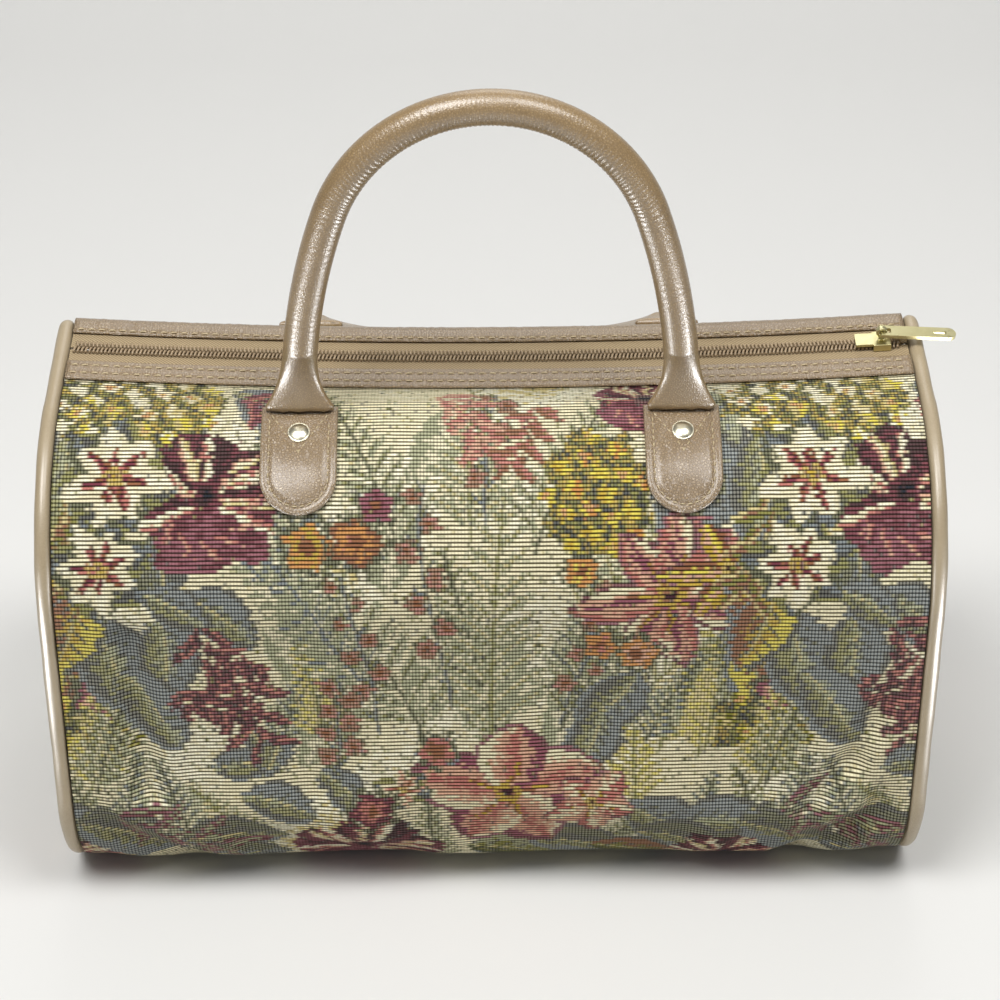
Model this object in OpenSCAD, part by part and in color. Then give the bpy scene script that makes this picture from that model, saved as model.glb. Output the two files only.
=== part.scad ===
// Zipped tapestry carpet bag: a soft barrel of woven cloth, piped round both ends,
// with a coil zip along the top and two rolled handles on riveted tabs.
// Millimetres, +Z up, +X along the bag, the front of the bag toward -Y.

/* [Bag] */
// Length of the cloth between the two end panels
bag_length = 336; // [270:1:410]
// Depth from the front face to the rear face
bag_depth = 190; // [150:1:240]
// Height of the crest behind the zip
bag_height = 212; // [180:1:260]
// Height at which the zip's slope would meet the front face
front_height = 190; // [165:1:230]
// Height at which the rear slope would meet the rear face
rear_height = 130; // [100:1:150]
// How far the crest lies behind the middle of the bag
crest_back = 15; // [8:1:24]
// Radius where the front rolls over to the top
shoulder_radius = 70; // [62:1:78]
// Radius where the rear slope meets the rear face
rear_radius = 40; // [25:1:50]
// Radius of the two lower edges
foot_radius = 50; // [35:1:60]
// Radius of the crest behind the zip
crest_radius = 8; // [5:0.5:9]
// Thickness of the tapestry with its backing
cloth_thickness = 2; // [1.4:0.1:3]
// Thickness of the base board inside
board_thickness = 2.5; // [1.5:0.1:4]

/* [Piping] */
// Diameter of the piping cord round each end
piping_diameter = 6.6; // [5:0.1:8.4]

/* [Zip] */
// How far the zip sags at the middle of the bag
zip_sag = 6; // [3:0.5:9]
// Distance from the crest forward to the middle of the zip
zip_from_crest = 19; // [17:0.5:24]
// Pitch of the coil's turns
coil_pitch = 1.55; // [1.3:0.05:2.2]
// Width of one half of the coil
coil_width = 2.4; // [2:0.1:3.2]
// Height of the coil over its tape
coil_height = 1.8; // [1.4:0.1:2.4]
// Half of the slit that the slider's post runs in
slit_half = 0.7; // [0.6:0.05:1]
// Width of one tape
tape_width = 12; // [10:0.5:14]
// Thickness of the tape
tape_thickness = 0.7; // [0.5:0.1:1]
// Width of the stitched bands beside the zip
band_width = 11.5; // [9.5:0.5:14]
// Thickness of the stitched bands
band_thickness = 1.5; // [1:0.1:2.2]
// Tape left showing between coil and band
tape_showing = 6; // [4:0.5:8]

/* [Slider] */
// Length of the slider along the zip
slider_length = 14; // [11:0.5:17]
// Thickness of the slider's two plates
plate_thickness = 1.1; // [0.8:0.1:1.6]
// Length of the pull from its pin to its tip
pull_length = 30; // [20:1:36]
// Width of the pull
pull_width = 6.5; // [5.5:0.5:8]
// Thickness of the pull
pull_thickness = 1.5; // [1:0.1:2]
// Angle by which the pull droops below the zip
pull_droop = 7; // [3:1:8]

/* [Handles] */
// Distance between the middles of the two legs
handle_span = 148; // [134:1:170]
// Height of the arch's middle line over the hinge line
handle_rise = 122; // [106:1:138]
// Diameter of the rolled handle
handle_diameter = 13.5; // [11:0.5:15.5]
// Radius of the arch's top
arch_radius = 64; // [58:1:66]
// Thickness of the leather rolled round the core
leather_thickness = 1.8; // [1.2:0.1:2.5]
// Height over which the tube flattens toward its end
flare_length = 24; // [20:1:28]
// Width of the flattened end
flare_width = 26.5; // [23:0.5:30]
// Thickness of the flattened end
flare_thickness = 4.8; // [4:0.2:6]
// Angle on the shoulder at which the front hinge lies
front_hinge_angle = 73; // [66:1:76]
// Distance from the crest down the rear slope to the rear hinge
rear_hinge_drop = 23; // [18:1:28]
// Angle at which the rear handle stands off the rear slope, as it hangs
rear_lift = 15; // [14:1:24]

/* [Tabs] */
// Width of a tab
tab_width = 29.5; // [25:0.5:34]
// Length of a tab
tab_length = 44; // [36:0.5:46]
// Thickness of a tab
tab_thickness = 2.2; // [1.8:0.1:2.8]
// Diameter of a rivet's dome
rivet_diameter = 8.6; // [7:0.1:10]
// Diameter of a rivet's post
rivet_post = 3; // [2:0.1:4]
// Height of a rivet's dome
rivet_height = 1.6; // [1.2:0.1:1.7]
// Distance from the hinge line to the rivet
rivet_drop = 11; // [10:0.5:13]

/* [Hidden] */
$fn = 48;
taupe = [0.60, 0.52, 0.42];
beige = [0.66, 0.60, 0.48];
tapestry = [0.72, 0.66, 0.50];
brass = [0.85, 0.76, 0.45];
// Clearance between pieces that are sewn or laid together
seat = 0.3;
// Clearance round what slides or turns
play = 0.35;
half_depth = bag_depth / 2;
half_length = bag_length / 2;
// Stations along the cloth, and the most that one facet of a rounded corner turns
stations = 28;
facet_turn = 8;

// Unit vector of v
function unit(v) = v / norm(v);
// Vector v turned a quarter turn to the left
function left_of(v) = [-v.y, v.x];
// Direction from p at angle a
function polar(r, a) = r * [cos(a), sin(a)];
// Centre of the arc of radius r that rounds the corner at p
function arc_centre(before, p, after, r) =
  let (u = unit(before - p), v = unit(after - p), half = acos(u * v) / 2)
  p + unit(u + v) * r / sin(half);
// Points round a convex corner, each with its outward normal and its share of the zip's sag
function corner(before, p, after, r, share = 0) =
  let (
    u = unit(before - p),
    v = unit(after - p),
    reach = r / tan(acos(u * v) / 2),
    c = arc_centre(before, p, after, r),
    from = p + u * reach - c,
    to = p + v * reach - c,
    a0 = atan2(from.y, from.x),
    turn = acos(unit(from) * unit(to)),
    steps = ceil(turn / facet_turn)
  )
  [for (i = [0:steps]) let (n = polar(1, a0 + turn * i / steps)) [c + r * n, n, share]];

// Corners of the section, as depth and height
front_foot = [-half_depth, 0];
front_top = [-half_depth, front_height];
crest = [crest_back, bag_height];
rear_top = [half_depth, rear_height];
rear_foot = [half_depth, 0];

// The zip's own frame: s runs back along its slope and n stands off it
top_dir = unit(crest - front_top);
top_normal = left_of(top_dir);
slope = atan2(top_dir.y, top_dir.x);
zip_mid = crest - top_dir * zip_from_crest;
function on_top(s) = zip_mid + top_dir * s;
rear_dir = unit(rear_top - crest);
rear_normal = left_of(rear_dir);
function on_rear(s) = crest + rear_dir * s;

// Edges across the zip, measured from its middle
tape_edge = slit_half + tape_width;
cloth_edge = tape_edge + seat;
band_edge = slit_half + coil_width + tape_showing;
band_end = band_edge + band_width;

// The zip's arc
arc_r = (half_length * half_length + zip_sag * zip_sag) / (2 * zip_sag);
arc_half = asin(half_length / arc_r);
function sag_at(x) = sqrt(arc_r * arc_r - x * x) - (arc_r - zip_sag);

// Section from the front edge of the mouth, under the bag, to its rear edge
shoulder = corner(crest, front_top, front_foot, shoulder_radius);
crest_arc = corner(rear_top, crest, front_top, crest_radius, 1);
lower_section = concat(
  shoulder,
  corner(front_top, front_foot, rear_foot, foot_radius),
  corner(front_foot, rear_foot, rear_top, foot_radius),
  corner(rear_foot, rear_top, crest, rear_radius)
);
rear_still = [on_rear(rear_hinge_drop - flare_thickness), rear_normal, 0];
section = concat(
  [[on_top(-cloth_edge), top_normal, 1], [on_top(-band_end - seat), top_normal, 1]],
  lower_section,
  [rear_still],
  crest_arc,
  [[on_top(cloth_edge), top_normal, 1]]
);
end_outline = concat(lower_section, crest_arc);

// A point of the section at x, moved in by depth
function cloth_point(entry, x, depth) =
  let (p = entry[0] - entry[1] * depth - top_normal * entry[2] * sag_at(x)) [x, p.x, p.y];
function cloth_ring(x) = concat(
  [for (e = section) cloth_point(e, x, 0)],
  [for (i = [len(section) - 1:-1:0]) cloth_point(section[i], x, cloth_thickness)]
);

// Solid through closed rings; strip caps its ends as a folded strip, and a loop joins its last ring to its first
module skin(rings, strip = false, loop = false) {
  n = len(rings[0]);
  m = len(rings);
  sides = [
    for (i = [0:m - (loop ? 1 : 2)], j = [0:n - 1], half = [0:1])
      let (a = i * n + j, b = i * n + (j + 1) % n, k = (i + 1) % m * n, c = k + (j + 1) % n, d = k + j)
      half == 0 ? [a, b, c] : [a, c, d]
  ];
  far = (m - 1) * n;
  plain_caps = [[for (j = [n - 1:-1:0]) j], [for (j = [0:n - 1]) far + j]];
  strip_caps = [
    for (j = [0:n / 2 - 2], end = [0:1])
      let (q = [j, n - 1 - j, n - 2 - j, j + 1])
      end == 0 ? q : [for (k = [3:-1:0]) far + q[k]]
  ];
  polyhedron([for (r = rings, p = r) p], concat(sides, loop ? [] : strip ? strip_caps : plain_caps));
}

// Places its children in the zip's frame
module zip_frame() translate([0, zip_mid.x, zip_mid.y]) rotate([slope, 0, 0]) children();
// Sweeps a flat (s, n) shape along the zip's arc
module along_zip() {
  zip_frame() translate([0, 0, arc_r - zip_sag]) rotate([0, 90, 90]) rotate([0, 0, -arc_half])
    rotate_extrude(angle = 2 * arc_half, $fn = 3600)
      translate([arc_r, 0]) rotate(90) children();
}
// Places its children on the zip's arc at x
module on_zip(x) {
  zip_frame() translate([0, 0, arc_r - zip_sag]) rotate([0, -asin(x / arc_r), 0])
    translate([0, 0, -arc_r]) children();
}

// Handle and tab places
hinge_standoff = seat + tab_thickness + seat + flare_thickness / 2;
shoulder_centre = arc_centre(crest, front_top, front_foot, shoulder_radius);
function shoulder_point(r, a) = shoulder_centre + polar(r, 180 - a);
front_hinge = shoulder_point(shoulder_radius + hinge_standoff, front_hinge_angle);
rear_hinge = on_rear(rear_hinge_drop) + rear_normal * hinge_standoff;
// Angle of the rear handle from upright
rear_hang = 90 - atan2(rear_dir.y, rear_dir.x) - rear_lift;
leg_x = handle_span / 2;
// Turns an arc length on the shoulder into degrees
function shoulder_turn(length) = length / shoulder_radius * 180 / PI;
// Places its children on the shoulder at angle a, with Z standing off the cloth and Y toward the zip
module on_shoulder(x, a) {
  translate([x, shoulder_centre.x, shoulder_centre.y]) rotate([90 - a, 0, 0])
    translate([0, 0, shoulder_radius]) children();
}
// The same on the rear slope, at a distance from the crest
module on_rear_slope(x, s) {
  p = on_rear(s);
  translate([x, p.x, p.y]) rotate([-atan2(rear_normal.x, rear_normal.y), 0, 0]) rotate([0, 0, 180]) children();
}
rivet_hole = rivet_post + 2 * seat;
// Places its children at all four rivets
module at_rivets() {
  for (x = [-leg_x, leg_x]) {
    on_shoulder(x, front_hinge_angle - shoulder_turn(rivet_drop)) children();
    on_rear_slope(x, rear_hinge_drop + rivet_drop) children();
  }
}

// Woven cloth of the front, bottom and rear in one piece, with holes for the rivets
module body_panel() {
  color(tapestry) difference() {
    skin([for (i = [0:stations]) cloth_ring(half_length * (2 * i / stations - 1))], strip = true);
    at_rivets() cylinder(d = rivet_hole, h = 4 * cloth_thickness, center = true);
  }
}

// Ends: the piping lies against the cloth's edge, and the end panel lies inside its ring
piping_r = piping_diameter / 2;
piping_x = half_length + seat + piping_r;
// How far the piping's middle lies inside the cloth's outer face; underneath, it lies level with the cloth
piping_inset = 2.2;
function inset_at(normal) = piping_inset + (piping_r - piping_inset) * max(0, -normal.y);
function outline_at(inside) = [for (e = end_outline) e[0] - e[1] * (inset_at(e[1]) + inside)];
module end_panel(side) {
  color(tapestry) translate([side * piping_x, 0, 0]) rotate([90, 0, 90])
    linear_extrude(cloth_thickness, center = true) polygon(outline_at(piping_r + seat));
}
module piping(side) {
  sides = 10;
  color(beige) skin([
    for (e = end_outline) [
      for (k = [0:sides - 1])
        let (a = 360 * k / sides, p = e[0] + e[1] * (piping_r * cos(a) - inset_at(e[1])))
        [side * piping_x + piping_r * sin(a), p.x, p.y]
    ]
  ], loop = true);
}
module left_end_panel() end_panel(-1);
module right_end_panel() end_panel(1);
module left_piping() piping(-1);
module right_piping() piping(1);

// Zip: stitched bands, tapes and the two halves of the coil
module front_band() {
  color(taupe) along_zip() translate([-band_end, seat]) square([band_width, band_thickness]);
}
// The rear band rolls over the crest
module rear_band() {
  function flat(p) = [(p - zip_mid) * top_dir, (p - zip_mid) * top_normal];
  rolled = [for (i = [len(crest_arc) - 1:-1:0]) crest_arc[i]];
  under = concat([[band_edge, seat]], [for (e = rolled) flat(e[0] + e[1] * seat)]);
  over = concat(
    [[band_edge, seat + band_thickness]],
    [for (e = rolled) flat(e[0] + e[1] * (seat + band_thickness))]
  );
  color(taupe) along_zip() polygon(concat(under, [for (i = [len(over) - 1:-1:0]) over[i]]));
}
module zip_tape(side) {
  color(beige) along_zip() translate([side * (slit_half + tape_width / 2), -tape_thickness / 2])
    square([tape_width, tape_thickness], center = true);
}
module front_zip_tape() zip_tape(-1);
module rear_zip_tape() zip_tape(1);
// Clearance between coil and tape, and depth of the grooves between the coil's turns
coil_seat = seat / 2;
groove_depth = coil_height * 0.5;
coil_top = coil_seat + coil_height;
coil_end = half_length - coil_pitch;
turns = floor(2 * coil_end / coil_pitch);
// One half of the coil as a ribbed strip, its turns offset from the other half's
module zip_coil(side) {
  start = -coil_end + (side < 0 ? 0 : coil_pitch / 2);
  ribs = [
    for (i = [0:turns - 1], q = [[0, 1], [0, 0], [0.5, 0], [0.5, 1]])
      let (x = start + (i + q[0]) * coil_pitch)
      [x, coil_top - q[1] * groove_depth - sag_at(x)]
  ];
  last = start + (turns - 0.5) * coil_pitch;
  floor_line = [
    for (i = [0:stations]) let (x = last + (start - last) * i / stations) [x, coil_seat - sag_at(x)]
  ];
  near = side < 0 ? -slit_half : slit_half + coil_width;
  color([0.45, 0.38, 0.30]) zip_frame() translate([0, near, 0]) rotate([90, 0, 0])
    linear_extrude(coil_width) polygon(concat(ribs, floor_line));
}
module front_zip_coil() zip_coil(-1);
module rear_zip_coil() zip_coil(1);

// Stiffening board on the floor of the bag
module base_board() {
  // Margin of the board inside the flat of the bottom and the ends
  margin = 3;
  flat_w = bag_depth - 2 * foot_radius - 2 * margin;
  color([0.35, 0.30, 0.25]) translate([0, 0, cloth_thickness + seat + board_thickness / 2])
    cube([bag_length - 2 * margin, flat_w, board_thickness], center = true);
}

// Leather tabs, square at the hinge and round below
module tab_outline() {
  straight = tab_length - tab_width / 2;
  translate([-tab_width / 2, -straight]) square([tab_width, straight + flare_thickness / 2]);
  translate([0, -straight]) circle(d = tab_width);
}
module front_tab(x) {
  middle = front_hinge_angle - shoulder_turn(tab_length) / 2;
  under = shoulder_radius + seat;
  color(taupe) difference() {
    intersection() {
      translate([x, shoulder_centre.x, shoulder_centre.y]) rotate([0, 90, 0]) difference() {
        cylinder(r = under + tab_thickness, h = 2 * tab_width, center = true, $fn = 180);
        cylinder(r = under, h = 3 * tab_width, center = true, $fn = 180);
      }
      on_shoulder(x, middle) translate([0, under * sin(front_hinge_angle - middle), -shoulder_radius / 2])
        linear_extrude(shoulder_radius) tab_outline();
    }
    on_shoulder(x, front_hinge_angle - shoulder_turn(rivet_drop))
      cylinder(d = rivet_hole, h = 6 * tab_thickness, center = true);
  }
}
module rear_tab(x) {
  color(taupe) on_rear_slope(x, rear_hinge_drop) translate([0, 0, seat]) difference() {
    linear_extrude(tab_thickness) tab_outline();
    translate([0, -rivet_drop, 0]) cylinder(d = rivet_hole, h = 4 * tab_thickness, center = true);
  }
}
module front_left_tab() front_tab(-leg_x);
module front_right_tab() front_tab(leg_x);
module rear_left_tab() rear_tab(-leg_x);
module rear_right_tab() rear_tab(leg_x);

// Rivets: a dome and post outside, a washer inside
washer_thickness = 1.2;
module rivet() {
  base = 2 * seat + tab_thickness;
  foot = cloth_thickness + seat + washer_thickness;
  ball = (rivet_diameter * rivet_diameter / 4 + rivet_height * rivet_height) / (2 * rivet_height);
  translate([0, 0, -foot]) cylinder(d = rivet_post, h = base + foot + rivet_height / 2);
  intersection() {
    translate([0, 0, base + rivet_height - ball]) sphere(r = ball, $fn = 180);
    translate([0, 0, base]) cylinder(d = 2 * rivet_diameter, h = 2 * rivet_height);
  }
}
module handle_rivets() color(brass) at_rivets() rivet();
module rivet_washers() {
  color(brass) at_rivets() translate([0, 0, -cloth_thickness - seat - washer_thickness]) difference() {
    cylinder(d = rivet_diameter, h = washer_thickness);
    cylinder(d = rivet_post + seat, h = 4 * washer_thickness, center = true);
  }
}

// Rolled handles: an arch of three arcs, flattened where each leg meets its tab
side_radius = (leg_x * leg_x + pow(handle_rise - arch_radius, 2) - arch_radius * arch_radius)
  / (2 * (leg_x - arch_radius));
arch_joint = atan2(handle_rise - arch_radius, side_radius - leg_x);
// Turn on a leg at which the tube is round
round_turn = asin(flare_length / side_radius);
// Point of the arch's middle line where it has turned by a, as width and height
function arch_point(a) =
  a < arch_joint ? [leg_x - side_radius, 0] + polar(side_radius, a)
  : a > 180 - arch_joint ? [side_radius - leg_x, 0] + polar(side_radius, a)
  : [0, handle_rise - arch_radius] + polar(arch_radius, a);
// Turns between two others, without the first
function turns_between(from, to, steps) = [for (i = [1:steps]) from + (to - from) * i / steps];
arch_turns = concat(
  [round_turn],
  turns_between(round_turn, arch_joint, 4),
  turns_between(arch_joint, 180 - arch_joint, 16),
  turns_between(180 - arch_joint, 180 - round_turn, 4)
);
handle_turns = concat(
  [0],
  turns_between(0, round_turn, 6),
  [for (i = [1:len(arch_turns) - 1]) arch_turns[i]],
  turns_between(180 - round_turn, 180, 6)
);
// Sign-keeping power that squares a circle into a flat end
function squared(v, e) = sign(v) * pow(abs(v), e);
// Ring across the arch of a width, a thickness and a squareness
function arch_ring(a, w, t, e, sides) = [
  for (k = [0:sides - 1])
    let (b = -360 * k / sides, p = arch_point(a) + polar(w / 2 * squared(cos(b), e), a))
    [p.x, t / 2 * squared(sin(b), e), p.y]
];
// Share of the way from the flat end to the round tube
function roundness(a) = min(1, max(0, arch_point(a).y / flare_length));
// How soon a leg narrows and how late it thickens, the squareness of its flat end, and its facets
narrowing = 2;
thickening = 2.4;
flat_squareness = 0.6;
handle_sides = 16;
// Ring of the rolled leather, moved in by a wall
function handle_ring(a, wall = 0) =
  let (
    k = roundness(a),
    w = handle_diameter + (flare_width - handle_diameter) * pow(1 - k, narrowing),
    t = flare_thickness + (handle_diameter - flare_thickness) * pow(k, thickening)
  )
  arch_ring(a, w - 2 * wall, t - 2 * wall, flat_squareness + (1 - flat_squareness) * k, handle_sides);
// Turn past the flat ends, where the rolled leather is open
past_end = 1;
mouth_turns = concat([-past_end], handle_turns, [180 + past_end]);
// Share of the flat end's width that is rolled under
rolled_share = 0.8;
module handle() {
  color(taupe) difference() {
    union() {
      skin([for (a = handle_turns) handle_ring(a)]);
      for (x = [-leg_x, leg_x]) translate([x, 0, 0]) rotate([0, 90, 0])
        cylinder(d = flare_thickness - seat, h = flare_width * rolled_share, center = true);
    }
    skin([for (a = mouth_turns) handle_ring(a, leather_thickness)]);
  }
}
module handle_core() {
  color([0.82, 0.78, 0.68]) skin([for (a = arch_turns) handle_ring(a, leather_thickness + seat / 2)]);
}
module at_front_hinge() translate([0, front_hinge.x, front_hinge.y]) children();
module at_rear_hinge() translate([0, rear_hinge.x, rear_hinge.y]) rotate([-rear_hang, 0, 0]) children();
module front_handle() at_front_hinge() handle();
module front_handle_core() at_front_hinge() handle_core();
module rear_handle() at_rear_hinge() handle();
module rear_handle_core() at_rear_hinge() handle_core();

// Slider: two plates joined by a post that runs in the slit, with a loop that holds the pull
slider_x = half_length - slider_length;
plate_width = 2 * (slit_half + coil_width + play + plate_thickness);
plate_low = coil_top + play;
plate_top = plate_low + plate_thickness;
floor_top = -tape_thickness - play;
pin_r = 0.8;
pin_x = slider_length / 4;
// Height of the pin over the slider's top plate
pin_rise = 3.3;
pin_n = plate_top + pin_rise;
loop_width = 2.2;
loop_in = pin_r + play;
loop_out = loop_in + plate_thickness;
// Width of the plate's tail as a share of its nose
tail_share = 0.82;
// Plate outline, broad at the nose and drawn in behind
module plate_outline() {
  tail = plate_width * tail_share;
  polygon([
    [-slider_length / 2, -tail / 2], [0, -tail / 2], [slider_length / 4, -plate_width / 2],
    [slider_length / 2, -plate_width / 2], [slider_length / 2, plate_width / 2],
    [slider_length / 4, plate_width / 2], [0, tail / 2], [-slider_length / 2, tail / 2]
  ]);
}
module zip_slider() {
  post_length = 3;
  flange_low = play;
  color(brass) on_zip(slider_x) {
    translate([0, 0, plate_low]) linear_extrude(plate_thickness) plate_outline();
    translate([0, 0, floor_top - plate_thickness]) linear_extrude(plate_thickness) plate_outline();
    translate([slider_length / 2 - post_length, play - slit_half, floor_top - plate_thickness])
      cube([post_length, 2 * (slit_half - play), plate_top - floor_top + plate_thickness]);
    for (side = [-1, 1])
      translate([slider_length / 4, side * (plate_width - plate_thickness) / 2, (flange_low + plate_top) / 2])
        cube([slider_length / 2, plate_thickness, plate_top - flange_low], center = true);
    translate([pin_x, 0, pin_n]) rotate([90, 0, 0]) linear_extrude(loop_width, center = true) difference() {
      circle(r = loop_out);
      circle(r = loop_in);
    }
    translate([pin_x - loop_in, -loop_width / 2, plate_top - plate_thickness])
      cube([2 * loop_in, loop_width, pin_n - loop_in - plate_top + plate_thickness - seat / 3]);
  }
}
// Pull: a pin inside the loop, two arms past it and a flat bar with a slot near its tip
module zip_pull() {
  eye_end = loop_out + play + plate_thickness;
  eye_width = loop_width + 2 * play;
  slot = [5, 1.6];
  color(brass) on_zip(slider_x) translate([pin_x, 0, pin_n]) rotate([0, pull_droop, 0]) {
    rotate([90, 0, 0]) cylinder(r = pin_r, h = pull_width, center = true);
    translate([0, 0, -pull_thickness / 2]) linear_extrude(pull_thickness) difference() {
      union() {
        translate([0, -pull_width / 2]) square([pull_length - pull_width / 2, pull_width]);
        translate([pull_length - pull_width / 2, 0]) circle(d = pull_width);
      }
      translate([-1, -eye_width / 2]) square([eye_end + 1, eye_width]);
      translate([pull_length - pull_width - slot.x / 2, -slot.y / 2]) square(slot);
    }
  }
}

body_panel();
left_end_panel();
right_end_panel();
left_piping();
right_piping();
front_band();
rear_band();
front_zip_tape();
rear_zip_tape();
front_zip_coil();
rear_zip_coil();
base_board();
front_left_tab();
front_right_tab();
rear_left_tab();
rear_right_tab();
handle_rivets();
rivet_washers();
front_handle();
front_handle_core();
rear_handle();
rear_handle_core();
zip_slider();
zip_pull();
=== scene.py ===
"""Dresses the carpet bag: woven tapestry, piping, stitched bands, coil zip, rolled handles and tabs.

Lengths are in millimetres until a mesh is made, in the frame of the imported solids.
"""
import math
from functools import cached_property

import bpy
import numpy as np
from mathutils import Matrix


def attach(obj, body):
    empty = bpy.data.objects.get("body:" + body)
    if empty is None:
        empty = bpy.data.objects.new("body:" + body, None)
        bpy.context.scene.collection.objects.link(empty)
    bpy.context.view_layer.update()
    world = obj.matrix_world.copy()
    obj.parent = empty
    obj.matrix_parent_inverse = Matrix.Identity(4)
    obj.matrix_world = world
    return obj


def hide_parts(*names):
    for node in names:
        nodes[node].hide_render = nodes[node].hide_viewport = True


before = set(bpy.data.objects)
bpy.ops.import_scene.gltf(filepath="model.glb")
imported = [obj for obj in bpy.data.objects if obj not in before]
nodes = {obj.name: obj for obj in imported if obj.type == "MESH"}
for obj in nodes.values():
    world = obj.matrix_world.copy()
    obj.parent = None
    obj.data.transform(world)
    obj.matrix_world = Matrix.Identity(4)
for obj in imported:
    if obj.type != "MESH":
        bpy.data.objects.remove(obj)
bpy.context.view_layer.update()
rng = np.random.default_rng(7)
scene = bpy.context.scene
MM = 0.001
SIDES = ((-1, "left"), (1, "right"))

# Sizes that the solids are built from
HALF_LENGTH, HALF_DEPTH = 168.0, 95.0
SEAT, CLOTH = 0.3, 2.0
SHOULDER_R, REAR_R, FOOT_R, CREST_R = 70.0, 40.0, 50.0, 8.0
PIPING_R, PIPING_INSET = 3.3, 2.2
COIL_PITCH = 1.55
ZIP_SAG, ZIP_FROM_CREST = 6.0, 19.0
BAND_EDGE, BAND_END, BAND_THICK = 9.1, 20.6, 1.5
CLOTH_EDGE = 13.0
LEG_X, RISE, ARCH_R, TUBE = 74.0, 122.0, 64.0, 13.5
FLARE_LENGTH, FLARE_WIDTH, FLARE_THICK = 24.0, 26.5, 4.8
TAB_WIDTH, TAB_LENGTH, TAB_THICK = 29.5, 44.0, 2.2
RIVET_R, RIVET_HEIGHT, RIVET_DROP = 4.3, 1.6, 11.0
HINGE_ANGLE, REAR_HINGE, REAR_LIFT = 73.0, 23.0, 15.0

# Weave: height of a rib and width of a yarn's cell, millimetres to a step of the cloth's map,
# cells in a run of one shade and in a ragged edge, and the share of the girth at mid bottom
RIB, WARP = 1.62, 0.81
CLOTH_UV = 10.0
SHADE_RUN, RAGGED_RUN = 4, 6
UNDERSIDE = 0.49


def unit(v):
    """A vector, or each row of vectors, at length one."""
    return v / np.linalg.norm(v, axis=-1, keepdims=True)


def smooth(t):
    t = np.clip(t, 0, 1)
    return t * t * (3 - 2 * t)


def cos_sin(angle):
    return math.cos(math.radians(angle)), math.sin(math.radians(angle))


def length_along(points):
    """Distance from the start to each point of a path."""
    return np.r_[0, np.cumsum(np.linalg.norm(np.diff(points, axis=0), axis=1))]


def around(sides):
    return np.linspace(0, 2 * np.pi, sides, endpoint=False)


def left_of(v):
    return np.array([-v[1], v[0]])


# Section of the bag, as depth and height
FRONT_FOOT = np.array([-HALF_DEPTH, 0.0])
FRONT_TOP = np.array([-HALF_DEPTH, 190.0])
CREST = np.array([15.0, 212.0])
REAR_TOP = np.array([HALF_DEPTH, 130.0])
REAR_FOOT = np.array([HALF_DEPTH, 0.0])
TOP_DIR = unit(CREST - FRONT_TOP)
TOP_NORMAL = left_of(TOP_DIR)
ZIP_MID = CREST - TOP_DIR * ZIP_FROM_CREST
REAR_DIR = unit(REAR_TOP - CREST)
REAR_NORMAL = left_of(REAR_DIR)
ARC_R = (HALF_LENGTH**2 + ZIP_SAG**2) / (2 * ZIP_SAG)
STANDOFF = SEAT + TAB_THICK + SEAT + FLARE_THICK / 2
REAR_HANG = 90 - math.degrees(math.atan2(REAR_DIR[1], REAR_DIR[0])) - REAR_LIFT
END_X = HALF_LENGTH + SEAT + PIPING_R


def sag_at(x):
    return np.sqrt(ARC_R**2 - np.asarray(x, float) ** 2) - (ARC_R - ZIP_SAG)


def corner(before, p, after, r, share=0.0, steps=40):
    """Rows of a rounded corner: depth, height, normal and share of the zip's sag."""
    u, v = unit(before - p), unit(after - p)
    half = math.acos(float(u @ v)) / 2
    c = p + unit(u + v) * r / math.sin(half)
    start = p + u * r / math.tan(half) - c
    a = math.atan2(start[1], start[0]) + (np.pi - 2 * half) * np.arange(steps + 1) / steps
    n = np.c_[np.cos(a), np.sin(a)]
    return np.c_[c + r * n, n, np.full(len(a), share)], c


SHOULDER, SHOULDER_C = corner(CREST, FRONT_TOP, FRONT_FOOT, SHOULDER_R)
LOWER = np.vstack([
    SHOULDER,
    corner(FRONT_TOP, FRONT_FOOT, REAR_FOOT, FOOT_R)[0],
    corner(FRONT_FOOT, REAR_FOOT, REAR_TOP, FOOT_R)[0],
    corner(REAR_FOOT, REAR_TOP, CREST, REAR_R)[0],
])
CREST_ARC = corner(REAR_TOP, CREST, FRONT_TOP, CREST_R, 1.0, 16)[0]


def top_row(s):
    return np.r_[ZIP_MID + TOP_DIR * s, TOP_NORMAL, 1.0]


REAR_STILL = np.r_[CREST + REAR_DIR * (REAR_HINGE - FLARE_THICK), REAR_NORMAL, 0.0]
SECTION = np.vstack([
    top_row(-CLOTH_EDGE), top_row(-BAND_END - SEAT), LOWER, REAR_STILL, CREST_ARC, top_row(CLOTH_EDGE)
])
OUTLINE = np.vstack([LOWER, CREST_ARC])


def resample(rows, pitch, closed=False):
    """Rows spread evenly along their path, with the distance along it."""
    if closed:
        rows = np.vstack([rows, rows[:1]])
    d = length_along(rows[:, :2])
    keep = np.r_[True, np.diff(d) > 1e-6]
    rows, d = rows[keep], d[keep]
    count = int(round(d[-1] / pitch))
    at = np.linspace(0, d[-1], count + 1)
    out = np.c_[tuple(np.interp(at, d, rows[:, k]) for k in range(rows.shape[1]))]
    out[:, 2:4] = unit(out[:, 2:4])
    return (out[:-1], at[:-1]) if closed else (out, at)


# Mesh helpers
def grid_faces(rows, cols, wrap_rows=False, wrap_cols=False, flip=False):
    i, j = np.mgrid[: rows - (not wrap_rows), : cols - (not wrap_cols)]
    i2, j2 = (i + 1) % rows, (j + 1) % cols
    q = np.stack([i * cols + j, i * cols + j2, i2 * cols + j2, i2 * cols + j], -1).reshape(-1, 4)
    return q[:, ::-1] if flip else q


def centres(grid):
    """Middle of each cell between a grid's points."""
    return (grid[:-1, :-1] + grid[1:, 1:]) / 2


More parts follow.
